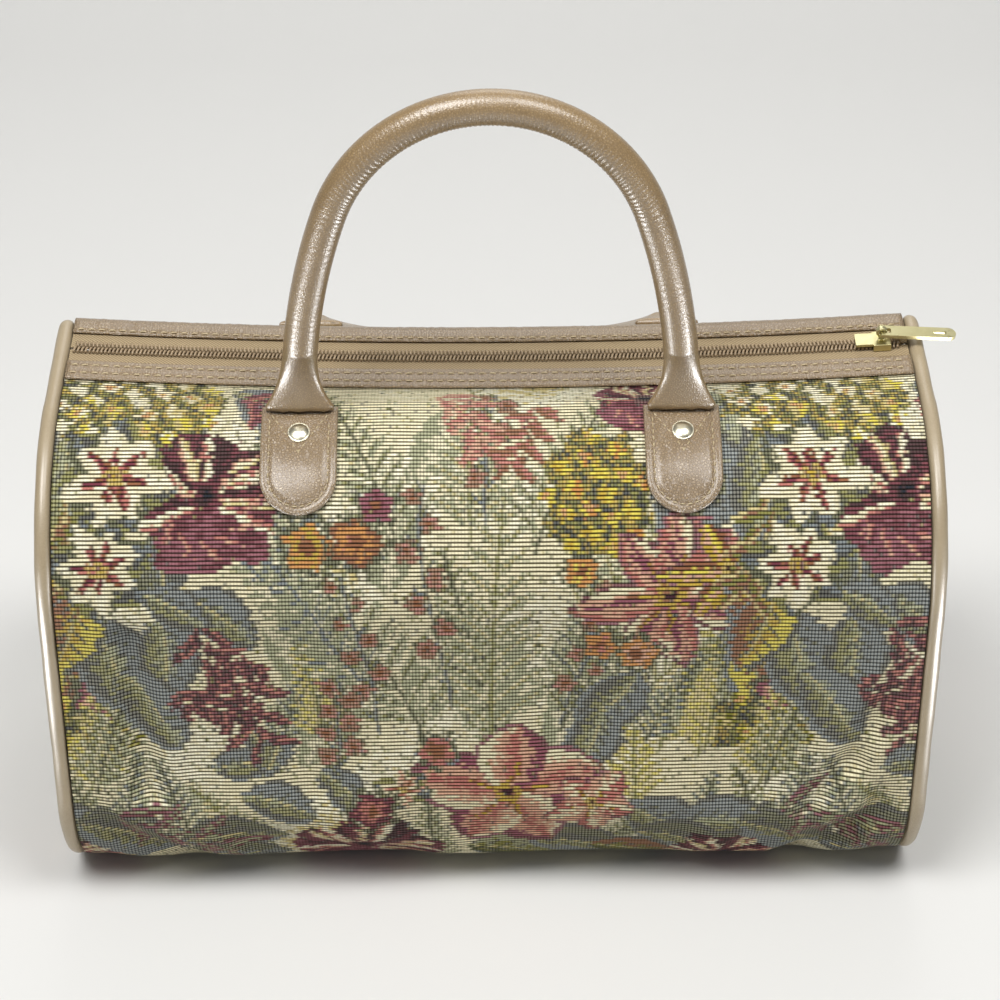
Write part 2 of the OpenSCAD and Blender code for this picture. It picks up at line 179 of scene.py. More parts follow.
def capped_rings(rows, sides):
    """Faces of a stack of rings with both ends filled."""
    ends = [list(range(sides))[::-1], [(rows - 1) * sides + k for k in range(sides)]]
    return grid_faces(rows, sides, wrap_cols=True).tolist() + ends


def new_mesh(name, points, faces):
    """A mesh from points in millimetres."""
    mesh = bpy.data.meshes.new(name)
    corners = (np.asarray(points).reshape(-1, 3) * MM).tolist()
    mesh.from_pydata(corners, [], [list(map(int, f)) for f in faces])
    mesh.validate()
    return mesh


def dress(mesh, material):
    mesh.materials.clear()
    mesh.materials.append(material)


def add_object(name, data):
    obj = bpy.data.objects.new(name, data)
    scene.collection.objects.link(obj)
    return obj


def add_smooth(name, mesh, material):
    dress(mesh, material)
    mesh.name = name
    mesh.polygons.foreach_set("use_smooth", [True] * len(mesh.polygons))
    return add_object(name, mesh)


def add_piece(name, mesh, material, slot, body="bag", stands_for=()):
    """A piece of the object that rides on a body and stands for solids."""
    obj = add_smooth(name, mesh, material)
    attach(obj, body)
    if stands_for:
        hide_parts(*stands_for)
    return obj


def make_piece(name, points, faces, *finish, **place):
    return add_piece(name, new_mesh(name, points, faces), *finish, **place)


def tube(path, frames, radius, sides, closed=False):
    """Points and faces of a tube; frames hold two unit vectors across the path at each point."""
    a = around(sides)[:, None]
    radius = np.broadcast_to(radius, len(path))
    ring = frames[:, 0, None] * np.cos(a) + frames[:, 1, None] * np.sin(a)
    pts = (path[:, None] + ring * radius[:, None, None]).reshape(-1, 3)
    if closed:
        return pts, grid_faces(len(path), sides, True, True).tolist()
    return pts, capped_rings(len(path), sides)


def join(parts):
    """Many small meshes as one list of points and faces."""
    points, faces, base = [], [], 0
    for p, f in parts:
        points.append(p)
        faces += [[k + base for k in face] for face in f]
        base += len(p)
    return np.vstack(points), faces


def stitch(at, along, normal, length, radius, lift):
    """One short thread that dips into the cloth at both ends."""
    along = unit(along)
    across = unit(np.cross(normal, along))
    t = np.linspace(-0.5, 0.5, 6)
    path = at + np.outer(t * length, along) + np.outer(lift - radius * 2.6 * (2 * t) ** 4, normal)
    frames = np.repeat(np.stack([across, unit(normal)])[None], len(t), 0)
    return tube(path, frames, radius * (1 - 0.35 * (2 * t) ** 4), 6)


# Material helpers
def linear(rgb):
    c = np.asarray(rgb, float) / 255
    return np.where(c <= 0.04045, c / 12.92, ((c + 0.055) / 1.055) ** 2.4)


class Nodes:
    """A short way to build one material's nodes."""

    def __init__(self, name, rough, metal=0.0):
        self.material = bpy.data.materials.new(name)
        self.material.use_nodes = True
        self.tree = self.material.node_tree
        self.shader = self.tree.nodes["Principled BSDF"]
        self.set(Roughness=rough, Metallic=metal)

    @cached_property
    def place(self):
        return self.add("TexCoord").outputs["Object"]

    def set(self, **values):
        for key, value in values.items():
            self.shader.inputs[key.replace("_", " ")].default_value = value

    def add(self, kind, links=(), **values):
        n = self.tree.nodes.new("ShaderNode" + kind)
        for key, value in values.items():
            if hasattr(n, key):
                setattr(n, key, value)
            else:
                n.inputs[key].default_value = value
        for socket, source in links:
            self.tree.links.new(source, n.inputs[socket])
        return n

    def fill(self, socket, value):
        """Links a socket to another node's output, or sets its own value."""
        if hasattr(value, "is_linked"):
            self.tree.links.new(value, socket)
        else:
            socket.default_value = value

    def math(self, how, a, b=0.5):
        n = self.add("Math", operation=how)
        self.fill(n.inputs[0], a)
        self.fill(n.inputs[1], b)
        return n.outputs[0]

    def times(self, a, b):
        return self.math("MULTIPLY", a, b)

    def plus(self, a, b):
        return self.math("ADD", a, b)

    def minus(self, a, b):
        return self.math("SUBTRACT", a, b)

    def mix(self, factor, a, b, blend="MIX"):
        n = self.add("Mix", data_type="RGBA", blend_type=blend)
        self.fill(n.inputs[0], factor)
        for k, colour in ((6, a), (7, b)):
            self.fill(n.inputs[k], (*linear(colour), 1) if isinstance(colour, tuple) else colour)
        return n.outputs[2]

    def noise(self, scale, detail):
        n = self.add("TexNoise", [("Vector", self.place)], Scale=scale, Detail=detail)
        return n.outputs["Fac"]

    def ridge(self, value):
        """0 in the middle of each whole step of a value and 1 at the step's ends."""
        off = self.minus(self.math("FRACT", value), 0.5)
        return self.times(self.math("ABSOLUTE", off), 2.0)

    def to(self, socket, source):
        self.tree.links.new(source, self.shader.inputs[socket])

    def bump(self, height, strength, distance=0.0004):
        n = self.add("Bump", [("Height", height)], Strength=strength, Distance=distance)
        self.to("Normal", n.outputs[0])


def leather(name, base, dark, light, rough, pebble, strength, coat=0.6):
    """Pebbled leatherette with paler high spots and darker hollows."""
    m = Nodes(name, rough)
    cells = m.add("TexVoronoi", [("Vector", m.place)], feature="DISTANCE_TO_EDGE", Scale=pebble)
    grain = m.math("MINIMUM", m.times(cells.outputs["Distance"], 3.0), 1.0)
    patch = m.noise(38, 4)
    colour = m.mix(m.minus(1.0, grain), base, dark)
    m.to("Base Color", m.mix(m.times(patch, 0.45), colour, light))
    m.to("Roughness", m.plus(m.times(patch, 0.22), rough - 0.1))
    m.bump(m.plus(grain, m.times(m.noise(900, 2), 0.3)), strength)
    m.set(Specular_IOR_Level=0.8, Coat_Weight=coat, Coat_Roughness=0.2)
    return m.material


def thread_material(name, base, dark):
    m = Nodes(name, 0.7)
    m.to("Base Color", m.mix(m.noise(700, 2), dark, base))
    twist = m.add("TexWave", [("Vector", m.place)], bands_direction="DIAGONAL", Scale=900.0)
    m.bump(twist.outputs["Fac"], 0.4, 0.0002)
    return m.material


def cloth_material(warp=1.3):
    """Tapestry: colours come from the weave's own attribute; ribs, fine checks and the painted shade in the
    grooves between ribs come from nodes.
    """
    m = Nodes("tapestry_weave", 0.84)
    dyed = m.add("Attribute", attribute_name="weave")
    xy = m.add("SeparateXYZ", [("Vector", m.add("UVMap", uv_map="Cloth").outputs["UV"])])
    waver = m.times(m.minus(m.noise(70, 2), 0.5), 0.3)
    rib = m.ridge(m.plus(xy.outputs[1], waver))
    end = m.ridge(m.times(xy.outputs[0], CLOTH_UV / warp))
    deep = m.times(m.minus(rib, 0.36), 2.2)
    groove = m.math("MINIMUM", m.math("MAXIMUM", deep, 0.0), 1.0)
    fibre = m.noise(620, 3)
    yarn = dyed.outputs["Color"]
    # Painted shade: the yarn is darkened toward a dark brown in the grooves between ribs
    shaded_floats = m.mix(groove, yarn, (72, 66, 48), "MULTIPLY")
    shaded_floats = m.mix(m.times(m.math("POWER", end, 3.0), 0.22), shaded_floats, (70, 66, 54))
    shaded_floats = m.mix(m.times(fibre, 0.4), shaded_floats, (222, 214, 186), "SOFT_LIGHT")
    dots = m.times(m.minus(1.0, end), m.minus(1.0, rib))
    pale = m.mix(0.4, yarn, (226, 222, 198))
    grid = m.mix(1.0, yarn, (112, 110, 106), "MULTIPLY")
    checked = m.mix(m.math("MINIMUM", m.times(dots, 2.8), 1.0), grid, pale)
    m.to("Base Color", m.mix(dyed.outputs["Alpha"], shaded_floats, checked))
    height = m.minus(1.0, m.plus(groove, m.times(end, 0.2)))
    m.bump(m.plus(height, m.times(fibre, 0.35)), 0.65, 0.0006)
    m.set(Specular_IOR_Level=0.08, Sheen_Weight=0.03)
    return m.material


def brass_material(name, base, pale):
    m = Nodes(name, 0.3, 1.0)
    m.to("Base Color", m.mix(m.noise(160, 4), base, pale))
    wear = m.noise(420, 5)
    m.to("Roughness", m.plus(m.times(wear, 0.25), 0.19))
    m.bump(wear, 0.12, 0.0001)
    return m.material


def twill_material():
    m = Nodes("zip_twill", 0.8)
    wave = m.add(
        "TexWave", [("Vector", m.place)], bands_direction="DIAGONAL", Scale=420.0, Distortion=0.4
    ).outputs["Fac"]
    m.to("Base Color", m.mix(wave, (128, 108, 80), (178, 158, 122)))
    m.bump(wave, 0.5, 0.0003)
    return m.material


def coil_material():
    m = Nodes("zip_nylon", 0.42)
    m.to("Base Color", m.mix(m.noise(260, 3), (132, 110, 84), (180, 158, 126)))
    m.bump(m.noise(1500, 2), 0.15, 0.0001)
    return m.material


TRIM = leather("trim_leatherette", (150, 126, 92), (100, 80, 56), (176, 151, 114), 0.4, 900.0, 0.7)
HANDLE = leather("handle_leatherette", (152, 126, 86), (114, 91, 59), (174, 147, 104), 0.34, 1100.0, 0.22)
VINYL = leather("piping_vinyl", (166, 149, 120), (146, 129, 100), (188, 172, 144), 0.38, 1600.0, 0.08, 0.2)
THREAD = thread_material("sewing_thread", (216, 200, 164), (160, 138, 104))
WEAVE = cloth_material()
RIVET_BRASS = brass_material("rivet_nickel_brass", (214, 206, 176), (236, 232, 212))
ZIP_BRASS = brass_material("zip_brass", (192, 183, 130), (224, 217, 174))
TWILL = twill_material()
NYLON = coil_material()

# Yarns of the tapestry
CREAM, IVORY, STRAW = (238, 229, 194), (247, 241, 214), (214, 198, 140)
YELLOW, ORANGE, OLIVE = (224, 208, 92), (206, 144, 84), (130, 128, 56)
SAGE, MOSS, SLATE = (162, 165, 130), (72, 76, 40), (102, 114, 126)
NAVY, WINE, ROSE = (42, 46, 56), (114, 56, 70), (190, 120, 112)
PINK, BROWN, PLUM = (218, 170, 146), (148, 100, 74), (68, 38, 48)
MAUVE, GOLD = (148, 90, 104), (196, 166, 70)
SAGES, MOSSES, SLATES = (SAGE, STRAW, OLIVE), (SAGE, OLIVE, MOSS), (SLATE, SAGE, SLATE)
# The last of these, the darkest, goes on leaves along the lower cloth: partly the print's own dark leaves,
# partly painted shade
GREYS, OCHRES, DARK_PRINT_AND_SHADE = (SAGE, SLATE, MOSS), (STRAW, YELLOW, OLIVE), (MOSS, NAVY, OLIVE, SLATE)
BLUES = (SLATE, SLATE, SAGE, OLIVE, NAVY)
RUSTS, REDS, FLUSH = (BROWN, ROSE, BROWN, BROWN, PINK), (WINE, ROSE, PLUM, WINE), (PINK, ROSE)


def toward(x, y, distance, angle):
    """The point at a distance along an angle in degrees."""
    c, s = cos_sin(angle)
    return x + distance * c, y + distance * s


def runs(values, length, cols):
    """Values repeated along each rib."""
    return np.repeat(values, length, 1)[:, :cols]


class Weave:
    """Colours of one woven panel, cell by cell, painted from simple shapes."""

    def __init__(self, across, along):
        rows, cols = across.shape
        self.run = runs(rng.random((rows, cols // SHADE_RUN + 1)), SHADE_RUN, cols).ravel()
        self.fleck = rng.random(rows * cols)
        ragged = runs(rng.normal(0, 0.8, (rows, cols // RAGGED_RUN + 1)), RAGGED_RUN, cols)
        self.plain, self.x, self.v = across.ravel(), (across + ragged).ravel(), along.ravel()
        self.rgb = np.zeros((rows * cols, 3))
        self.check = np.zeros(rows * cols)
        self.ground()

    def put(self, cells, tones, level=0.5, check=0.0):
        """Fills cells with tones; level picks along them, loosened by the yarn's own runs."""
        pick = level * len(tones) + 0.9 * (self.run[cells] - 0.5) + 0.6 * (self.fleck[cells] - 0.5)
        self.rgb[cells] = np.array(tones, float)[np.clip(pick, 0, len(tones) - 1).astype(int)]
        self.check[cells] = check

    def near(self, cx, cy, reach, angle=0.0, size=1.0, fine=False):
        """Cells near a point, with their places along and across an angle."""
        x = self.plain if fine else self.x
        cells = np.nonzero((np.abs(x - cx) < reach) & (np.abs(self.v - cy) < reach))[0]
        c, s = cos_sin(angle)
        dx, dy = x[cells] - cx, self.v[cells] - cy
        return cells, (dx * c + dy * s) / size, (dy * c - dx * s) / size

    def ground(self):
        every = np.arange(len(self.x))
        broad = np.sin(self.x / 31 + 0.6) * np.cos(self.v / 24)
        drift = 0.5 + 0.22 * broad + 0.16 * np.sin(self.x / 13 + self.v / 17)
        self.put(every, (IVORY, CREAM, CREAM, IVORY, STRAW), drift, 0.06)
        stray = self.fleck < 0.06
        self.put(every[stray], (SAGE, STRAW, OLIVE, MOSS), self.run[stray], 0.3)

    def leaf(self, cx, cy, length, width, angle, tones, check=0.0, bend=0.0, fine=False):
        """A pointed leaf or petal, streaked lengthwise with its tones."""
        cells, p, q = self.near(cx, cy, length + 2, angle, length, fine)
        q = q - bend * p * p
        edge = np.clip(1 - (2 * p - 1) ** 2, 1e-6, 1) ** 0.8 * max(width, 0.62) / length
        inside = (p > 0) & (p < 1) & (np.abs(q) < edge)
        self.put(cells[inside], tones, (q[inside] / edge[inside] + 1) / 2, check)

    def blade(self, cx, cy, length, angle, tones=BLUES, bend=0.2, veins=5):
        """A broad leaf with a dark edge, a pale midrib and fine side veins."""
        self.leaf(cx, cy, length * 1.05, length * 0.34, angle, (NAVY, MOSS, SLATE), 0.7, bend)
        self.leaf(cx, cy, length, length * 0.28, angle, tones, 0.7 if SLATE in tones else 0.2, bend)
        c, s = cos_sin(angle)
        for k in range(1, veins + 1):
            t = k / (veins + 1.5)
            p, q = length * t, length * bend * t * t
            x, y = cx + p * c - q * s, cy + p * s + q * c
            for side in (-1, 1):
                self.leaf(x, y, length * 0.22, 0.62, angle + 44 * side, (NAVY, MOSS), 0.6, 0.0, True)
        self.leaf(cx, cy, length * 0.9, 0.7, angle, (STRAW, SAGE), 0.3, bend, True)

    def petals(self, cx, cy, r, count, turn, width, tones, check=0.0):
        for k in range(count):
            reach = r * (0.9 + 0.12 * math.sin(k * 2.3 + turn))
            lean = turn + 360 * k / count + 7 * math.sin(k * 1.9)
            self.leaf(cx, cy, reach, r * width, lean, tones, check)

    def spot(self, cx, cy, r, tones, heart=None, rim=0.0):
        """A small round bloom with a broken dark rim."""
        cells, p, q = self.near(cx, cy, 1.5 * r + 2, 0, r)
        rho = np.hypot(p, q) * (1 + 0.14 * np.sin(5 * np.arctan2(q, p) + cx))
        self.put(cells[(rho < 1 + rim) & (self.fleck[cells] > 0.35)], (NAVY, MOSS, SLATE), 0.5, 0.5)
        self.put(cells[rho < 1], tones, 1 - rho[rho < 1], 0.45 if r < 5 else 0.1)
        if heart:
            self.put(cells[rho < 0.36], (heart,))

    def frond(self, cx, cy, length, angle, bend, tones=MOSSES, pairs=11):
        """A fern with fine leaflets along a bending stem."""
        fill = (STRAW, YELLOW, STRAW) if YELLOW in tones else (SAGE, CREAM, SAGE)
        step = length / pairs
        for k in range(pairs):
            t = (k + 1) / pairs
            turn = angle + bend * t
            self.leaf(cx, cy, step * 1.6, 0.75, turn, tones[-1:], 0.5, 0.0, True)
            cx, cy = toward(cx, cy, step, turn)
            size = length * (0.31 - 0.22 * t)
            for side in (-1, 1):
                lean = turn + side * (44 - 14 * t)
                self.leaf(cx, cy, size, 0.9 + 0.07 * size, lean, fill, 0.5, 0.2 * side)
                self.leaf(cx, cy, size * 0.92, 0.62, lean, tones[1:], 0.5, 0.2 * side, True)

    def sprig(self, cx, cy, length, angle, bloom=RUSTS, bend=6.0):
        """A dark stem with small blooms and leaves on alternate sides."""
        for k in range(9):
            turn = angle + bend * k / 8 + 8 * math.sin(k * 2.1 + cx)
            self.leaf(cx, cy, length / 6.5, 0.75, turn, (SLATE, NAVY), 0.6, 0.0, True)
            cx, cy = toward(cx, cy, length / 9, turn)
            side = (k % 2) * 2 - 1
            self.leaf(cx, cy, 9.0 - 0.4 * k, 0.9, turn + 40 * side, (OLIVE, SLATE), 0.4, 0.0, True)
            if k > 1:
                r = 2.6 + 1.7 * abs(math.sin(k * 1.7 + cx))
                self.spot(cx + 4.6 * side, cy + 1.5, r, bloom, BROWN, 0.2)

    def vine(self, cx, cy, length, angle, tones):
        """A ragged trail of pointed leaves."""
        for k in range(7):
            turn = angle + 26 * math.sin(k * 1.7 + cx)
            side = (k % 2) * 2 - 1
            self.leaf(cx, cy, length * 0.38, 2.5, turn + 50 * side, tones, 0.2)
            self.leaf(cx, cy, length * 0.32, 1.8, turn - 34 * side, tones[::-1], 0.2)
            cx, cy = toward(cx, cy, length / 7, turn)

    def peony(self, cx, cy, r, lean):
        """A full bloom: dark heart, fans of pale strokes above and a broad plain petal below."""
        cells, p, q = self.near(cx, cy, 1.4 * r, lean, r)
        th = np.arctan2(q, p)
        rho = np.hypot(p, q) * (1 + 0.08 * np.sin(5 * th + 1) + 0.05 * np.sin(9 * th + cx))
        inside = rho < 1
        level = 0.5 + 0.3 * q[inside] + 0.12 * np.sin(5 * p[inside] + 4 * q[inside])
        self.put(cells[inside], (PLUM, WINE, MAUVE), level, 0.12)
        for ring, count, wide in ((0.52, 13, 0.08), (0.16, 13, 0.065)):
            for k in range(count):
                turn = lean - 205 + 230 * k / (count - 1)
                x, y = toward(cx, cy, ring * r, turn)
                kind = ((ROSE, CREAM, IVORY), (PLUM, WINE), (PINK, CREAM, STRAW))[k % 3]
                reach = r * (0.56 - 0.1 * ring)
                self.leaf(x, y, reach, r * wide, turn + 14 * math.sin(k), kind, 0.1, 0.15)
        for k in range(6):
            turn = lean + 20 + 28 * k
            x, y = toward(cx, cy, 0.52 * r, turn)
            self.leaf(x, y, r * 0.44, r * 0.06, turn - 60, (ROSE, PINK, MAUVE), 0.1)
        self.spot(cx, cy - 0.1 * r, 0.22 * r, (WINE, PLUM, PLUM), NAVY)

    def star(self, cx, cy, r, count, turn, petal=IVORY, heart=WINE):
        """A pointed daisy with flushed petals on a dark ground."""
        self.petals(cx, cy, r * 1.2, count, turn + 8, 0.34, (MOSS, SLATE, NAVY, OLIVE), 0.45)
        self.petals(cx, cy, r, count, turn, 0.25, (CREAM, petal, petal, CREAM))
        self.petals(cx, cy, r * 0.68, count, turn + 4, 0.12, (ROSE, heart, BROWN))
        self.spot(cx, cy, r * 0.17, (GOLD, heart), GOLD)

    def posy(self, cx, cy, wide, high, count, blooms):
        """A crowd of dabs over dark green."""
        cells, p, q = self.near(cx, cy, wide + high)
        inside = (p / wide) ** 2 + (q / high) ** 2 + 0.3 * np.sin(p / 3.3 + 1) * np.cos(q / 4.1) < 1
        self.put(cells[inside], (NAVY, MOSS, OLIVE, OLIVE, GOLD), self.fleck[cells[inside]], 0.3)
        for k in range(count):
            a, d = k * 2.4, math.sqrt((k + 0.4) / count)
            x, y = cx + wide * d * math.cos(a), cy + high * d * math.sin(a)
            for lean in (-16, 38, 84):
                dab = blooms[k % len(blooms)]
                self.leaf(*toward(x, y, -4, lean), 8.6, 1.9, lean + 12 * math.sin(k), dab)
            if k % 2:
                self.spot(x, y, 1.6, (ORANGE, GOLD))

    def lily(self, cx, cy, r, turn, tones, count, width):
        """An open bloom with streaked petals and long gold stamens."""
        self.petals(cx, cy, r * 1.06, count, turn, width + 0.02, (MAUVE, BROWN, MAUVE, WINE), 0.3)
        self.petals(cx, cy, r, count, turn, width, tones)
        self.petals(cx, cy, r * 0.55, count, turn + 9, 0.05, (GOLD, BROWN))
        self.spot(cx, cy, r * 0.14, (GOLD, BROWN), PLUM)

    def pale_leaf(self, cx, cy, length, angle):
        self.leaf(cx, cy, length, length * 0.24, angle, (SAGE, CREAM, SAGE), 0.5, 0.2)

    def button(self, cx, cy, r, tones):
        self.spot(cx, cy, r, tones, BROWN, 0.4)

    def repeat(self, cx):
        """One repeat of the garden: pale leaves and ferns behind, then leaves, then blooms."""
        for draw, places in (
            (self.pale_leaf, PALE_LEAVES), (self.frond, FRONDS), (self.blade, LEAVES),
            (self.sprig, SPRIGS), (self.vine, VINES), (self.posy, POSIES), (self.peony, PEONIES),
            (self.lily, LILIES), (self.star, STARS), (self.button, BUTTONS),
        ):
            for x, *shape in places:
                draw(cx + x, *shape)

    def garden(self, period=267.0):
        for k in (-1, 0, 1):
            self.repeat(k * period)
        worn = np.nonzero(self.fleck > 0.985)[0]
        self.put(worn, (SLATE, NAVY, OLIVE), 0.5, 0.5)

    def cells(self):
        """Linear colours and check of each cell, with the slight unevenness of dyed yarn."""
        uneven = 1 + 0.1 * (self.run - 0.5) + 0.05 * rng.standard_normal(len(self.run))
        return np.c_[np.clip(linear(self.rgb) * uneven[:, None], 0, 1), self.check]


# One repeat of the garden. Each row starts with its place along the bag and down from the mouth,
# then has what the method that draws it takes, mostly a length, an angle, a bend and tones
FRONDS = [
    (82, 182, 60, -88, 8, OCHRES), (100, 178, 56, -102, -8, OCHRES), (66, 178, 52, -74, 12, OCHRES),
    (-160, 196, 56, -84, 6, OCHRES), (10, 204, 62, -100, -10), (58, 206, 54, -96, 8, OCHRES),
    (30, 150, 54, -84, 10, GREYS), (-4, 150, 62, -99, -8), (48, 186, 50, -110, -14),
    (-84, 176, 44, -76, 10, GREYS), (-66, 176, 50, -96, -8, OCHRES), (-26, 174, 100, -110, -18),
    (0, 176, 108, -92, 8, SAGES), (26, 172, 96, -70, 18), (-48, 150, 78, -118, -20, SLATES),
    (-34, 92, 76, -106, -12), (-8, 84, 72, -92, 6, SAGES), (16, 90, 76, -74, 16),
    (34, 122, 66, -62, 16, SAGES), (-62, 128, 58, -112, -24, SLATES), (-72, 96, 56, -100, -12, GREYS),
    (46, 168, 52, -58, 20, SAGES), (60, 176, 46, -70, 14, GREYS), (84, 180, 54, -84, 10, OCHRES),
    (100, 176, 50, -98, -12), (-88, 236, 52, -120, -14, SAGES), (-118, 236, 54, -100, -10, GREYS),
    (-150, 236, 56, -86, 10, GREYS), (-158, 196, 56, -78, 12), (40, 240, 44, -60, 14),
    (76, 240, 50, -80, 8, GREYS), (112, 238, 52, -100, -10), (-76, 62, 50, -88, 14, GREYS),
    (80, 52, 48, -92, -8), (-18, 250, 50, -110, 20),
]
PALE_LEAVES = [
    (-78, 100, 50, 66), (-70, 124, 48, 84), (-56, 146, 44, 104), (-88, 118, 36, 50), (32, 118, 42, 70),
    (52, 146, 44, 104), (28, 146, 38, 82), (-14, 24, 40, 100), (-40, 60, 44, 80),
    (6, 120, 50, 96), (-24, 120, 46, 84),
]
LEAVES = [
    (-156, 112, 44, 62), (-128, 112, 42, 80), (-146, 140, 40, 44), (-118, 104, 34, 30), (-112, 186, 24, -20),
    (-96, 166, 20, 60), (-84, 168, 22, 96), (-100, 198, 30, 10), (-70, 188, 26, 30), (52, 204, 46, 26),
    (74, 214, 40, -10), (66, 54, 40, 60), (84, 50, 38, 96), (58, 140, 36, 118), (44, 156, 34, 96),
    (-164, 40, 44, 82), (-100, 12, 40, 34), (-84, 10, 44, 62, GREYS), (-78, 44, 38, 112, MOSSES),
    (82, 12, 50, 80, GREYS), (70, 40, 42, 40), (-122, 34, 34, 60, (MOSS, NAVY, OLIVE)),
    (-130, 78, 30, 70, (NAVY, SLATE, MOSS)), (-134, 104, 28, 20), (-166, 84, 44, 78, (ORANGE, GOLD, BROWN)),
    (-158, 100, 40, 96, (YELLOW, GOLD, BROWN)), (96, 120, 38, 64, (GOLD, BROWN, YELLOW)),
    # Dark leaves along the lower cloth: partly the print's own, partly painted shade
    (-10, 232, 42, 10, MOSSES), (-34, 236, 40, 172, MOSSES), (-168, 212, 44, 24, DARK_PRINT_AND_SHADE),
    (-126, 222, 40, -8, DARK_PRINT_AND_SHADE), (56, 224, 46, 6, DARK_PRINT_AND_SHADE), (104, 206, 42, 28, DARK_PRINT_AND_SHADE), (14, 228, 44, 8, DARK_PRINT_AND_SHADE),
    (-60, 214, 36, 20, DARK_PRINT_AND_SHADE), (84, 232, 44, -6, DARK_PRINT_AND_SHADE), (40, 236, 42, 16, (BROWN, OLIVE, MOSS)),
    (120, 234, 44, 152, MOSSES), (-132, 240, 46, -8, (MOSS, SLATE, NAVY)),
]
SPRIGS = [
    (-16, 160, 96, -95), (-44, 172, 74, -100), (26, 168, 70, -76), (-2, 78, 62, -88), (-60, 196, 50, -92),
]
VINES = [
    (-112, 118, 44, 70, REDS), (-98, 132, 46, 84, REDS), (-124, 148, 30, 40, REDS),
    (-150, 206, 60, 24, (MAUVE, SAGE, WINE)), (-96, 18, 34, 58, (MAUVE, WINE, ROSE)),
    (-160, 66, 44, 88, (OLIVE, BROWN, STRAW)), (-20, 16, 40, 70, FLUSH), (70, 78, 38, 20, (MAUVE, ROSE)),
    (18, 26, 34, 110, (ROSE, BROWN)),
]
POSIES = [
    (-141, 22, 37, 25, 30, (
        (CREAM, IVORY), (YELLOW, STRAW), (IVORY, CREAM), (STRAW, CREAM), (IVORY, YELLOW),
    )),
    (41, 66, 20, 27, 18, ((YELLOW, GOLD), (ORANGE, YELLOW), (YELLOW, GOLD, YELLOW))),
    (106, 166, 20, 15, 9, ((OLIVE, STRAW), (YELLOW, OLIVE))),
]
PEONIES = [(-109, 68, 28, 0), (-52, 240, 30, 20), (60, 22, 19, 30), (96, 246, 24, -20)]
LILIES = [
    (68, 106, 37, 20, (ROSE, PINK, MAUVE, PINK, CREAM), 7, 0.19),
    (92, 96, 28, 60, (GOLD, PINK, YELLOW, BROWN), 6, 0.16),
    (6, 198, 38, -18, (CREAM, PINK, ROSE, PINK, MAUVE), 5, 0.36),
    (40, 204, 20, 10, (PINK, CREAM, ROSE), 5, 0.3),
]
STARS = [(-144, 58, 23, 7, 8), (-150, 94, 19, 7, 30), (-36, 196, 10, 6, 12, PINK, BROWN)]
BUTTONS = [
    (-70, 86, 8.5, (ORANGE, GOLD, BROWN)), (-52, 84, 9.5, (BROWN, ORANGE, ROSE)),
    (-44, 70, 6.0, (MAUVE, WINE)), (34, 96, 5.5, (ORANGE, YELLOW)), (56, 132, 7.0, (ORANGE, PINK)),
    (42, 128, 6.0, (ORANGE, ROSE)), (114, 150, 9.0, (MAUVE, PINK, CREAM)), (-22, 178, 6.5, (ROSE, BROWN)),
    (-48, 206, 8.0, (WINE, ROSE, PINK)),
]


def colour_cells(obj, cells, columns_across, cloth_uv, bake_uv):
    """Writes the weave to a grid mesh: neighbours along a rib run into each other, ribs don't."""
    mesh = obj.data
    n = len(mesh.polygons)
    index = np.zeros(4 * n, np.int32)
    mesh.loops.foreach_get("vertex_index", index)
    across = columns_across - 1
    grid = cells.reshape(-1, across, 4)
    before, after = grid[:, :-1], grid[:, 1:]
    left = np.concatenate([grid[:, :1], 0.4 * before + 0.6 * after], 1).reshape(-1, 1, 4)
    right = np.concatenate([0.6 * before + 0.4 * after, grid[:, -1:]], 1).reshape(-1, 1, 4)
    on_right = (index.reshape(n, 4) % columns_across) > (np.arange(n) % across)[:, None]
    layer = mesh.color_attributes.new("weave", "FLOAT_COLOR", "CORNER")
    shades = np.where(on_right[..., None], right, left)
    layer.data.foreach_set("color", shades.astype(np.float32).ravel())
    for name, uv in (("Cloth", cloth_uv), ("OFBake", bake_uv)):
        made = mesh.uv_layers.new(name=name)
        made.uv.foreach_set("vector", uv[index].astype(np.float32).ravel())


# Folds of the soft cloth: from, to, width and depth, along the bag and down from the mouth
FOLDS = [
    (-141, 124, -137, 196, 6, 3.0), (-164, 208, -122, 244, 8, 3.6), (164, 200, 124, 248, 8, 3.8),
    (160, 150, 128, 206, 6, 2.8), (146, 186, 164, 214, 6, 2.4), (104, 234, 158, 212, 9, 2.4),
    (-30, 214, 70, 226, 14, 1.8), (-96, 226, -38, 240, 12, 2.0), (20, 130, 36, 190, 16, 1.3),
    (-84, 134, -72, 196, 14, 1.3),
]


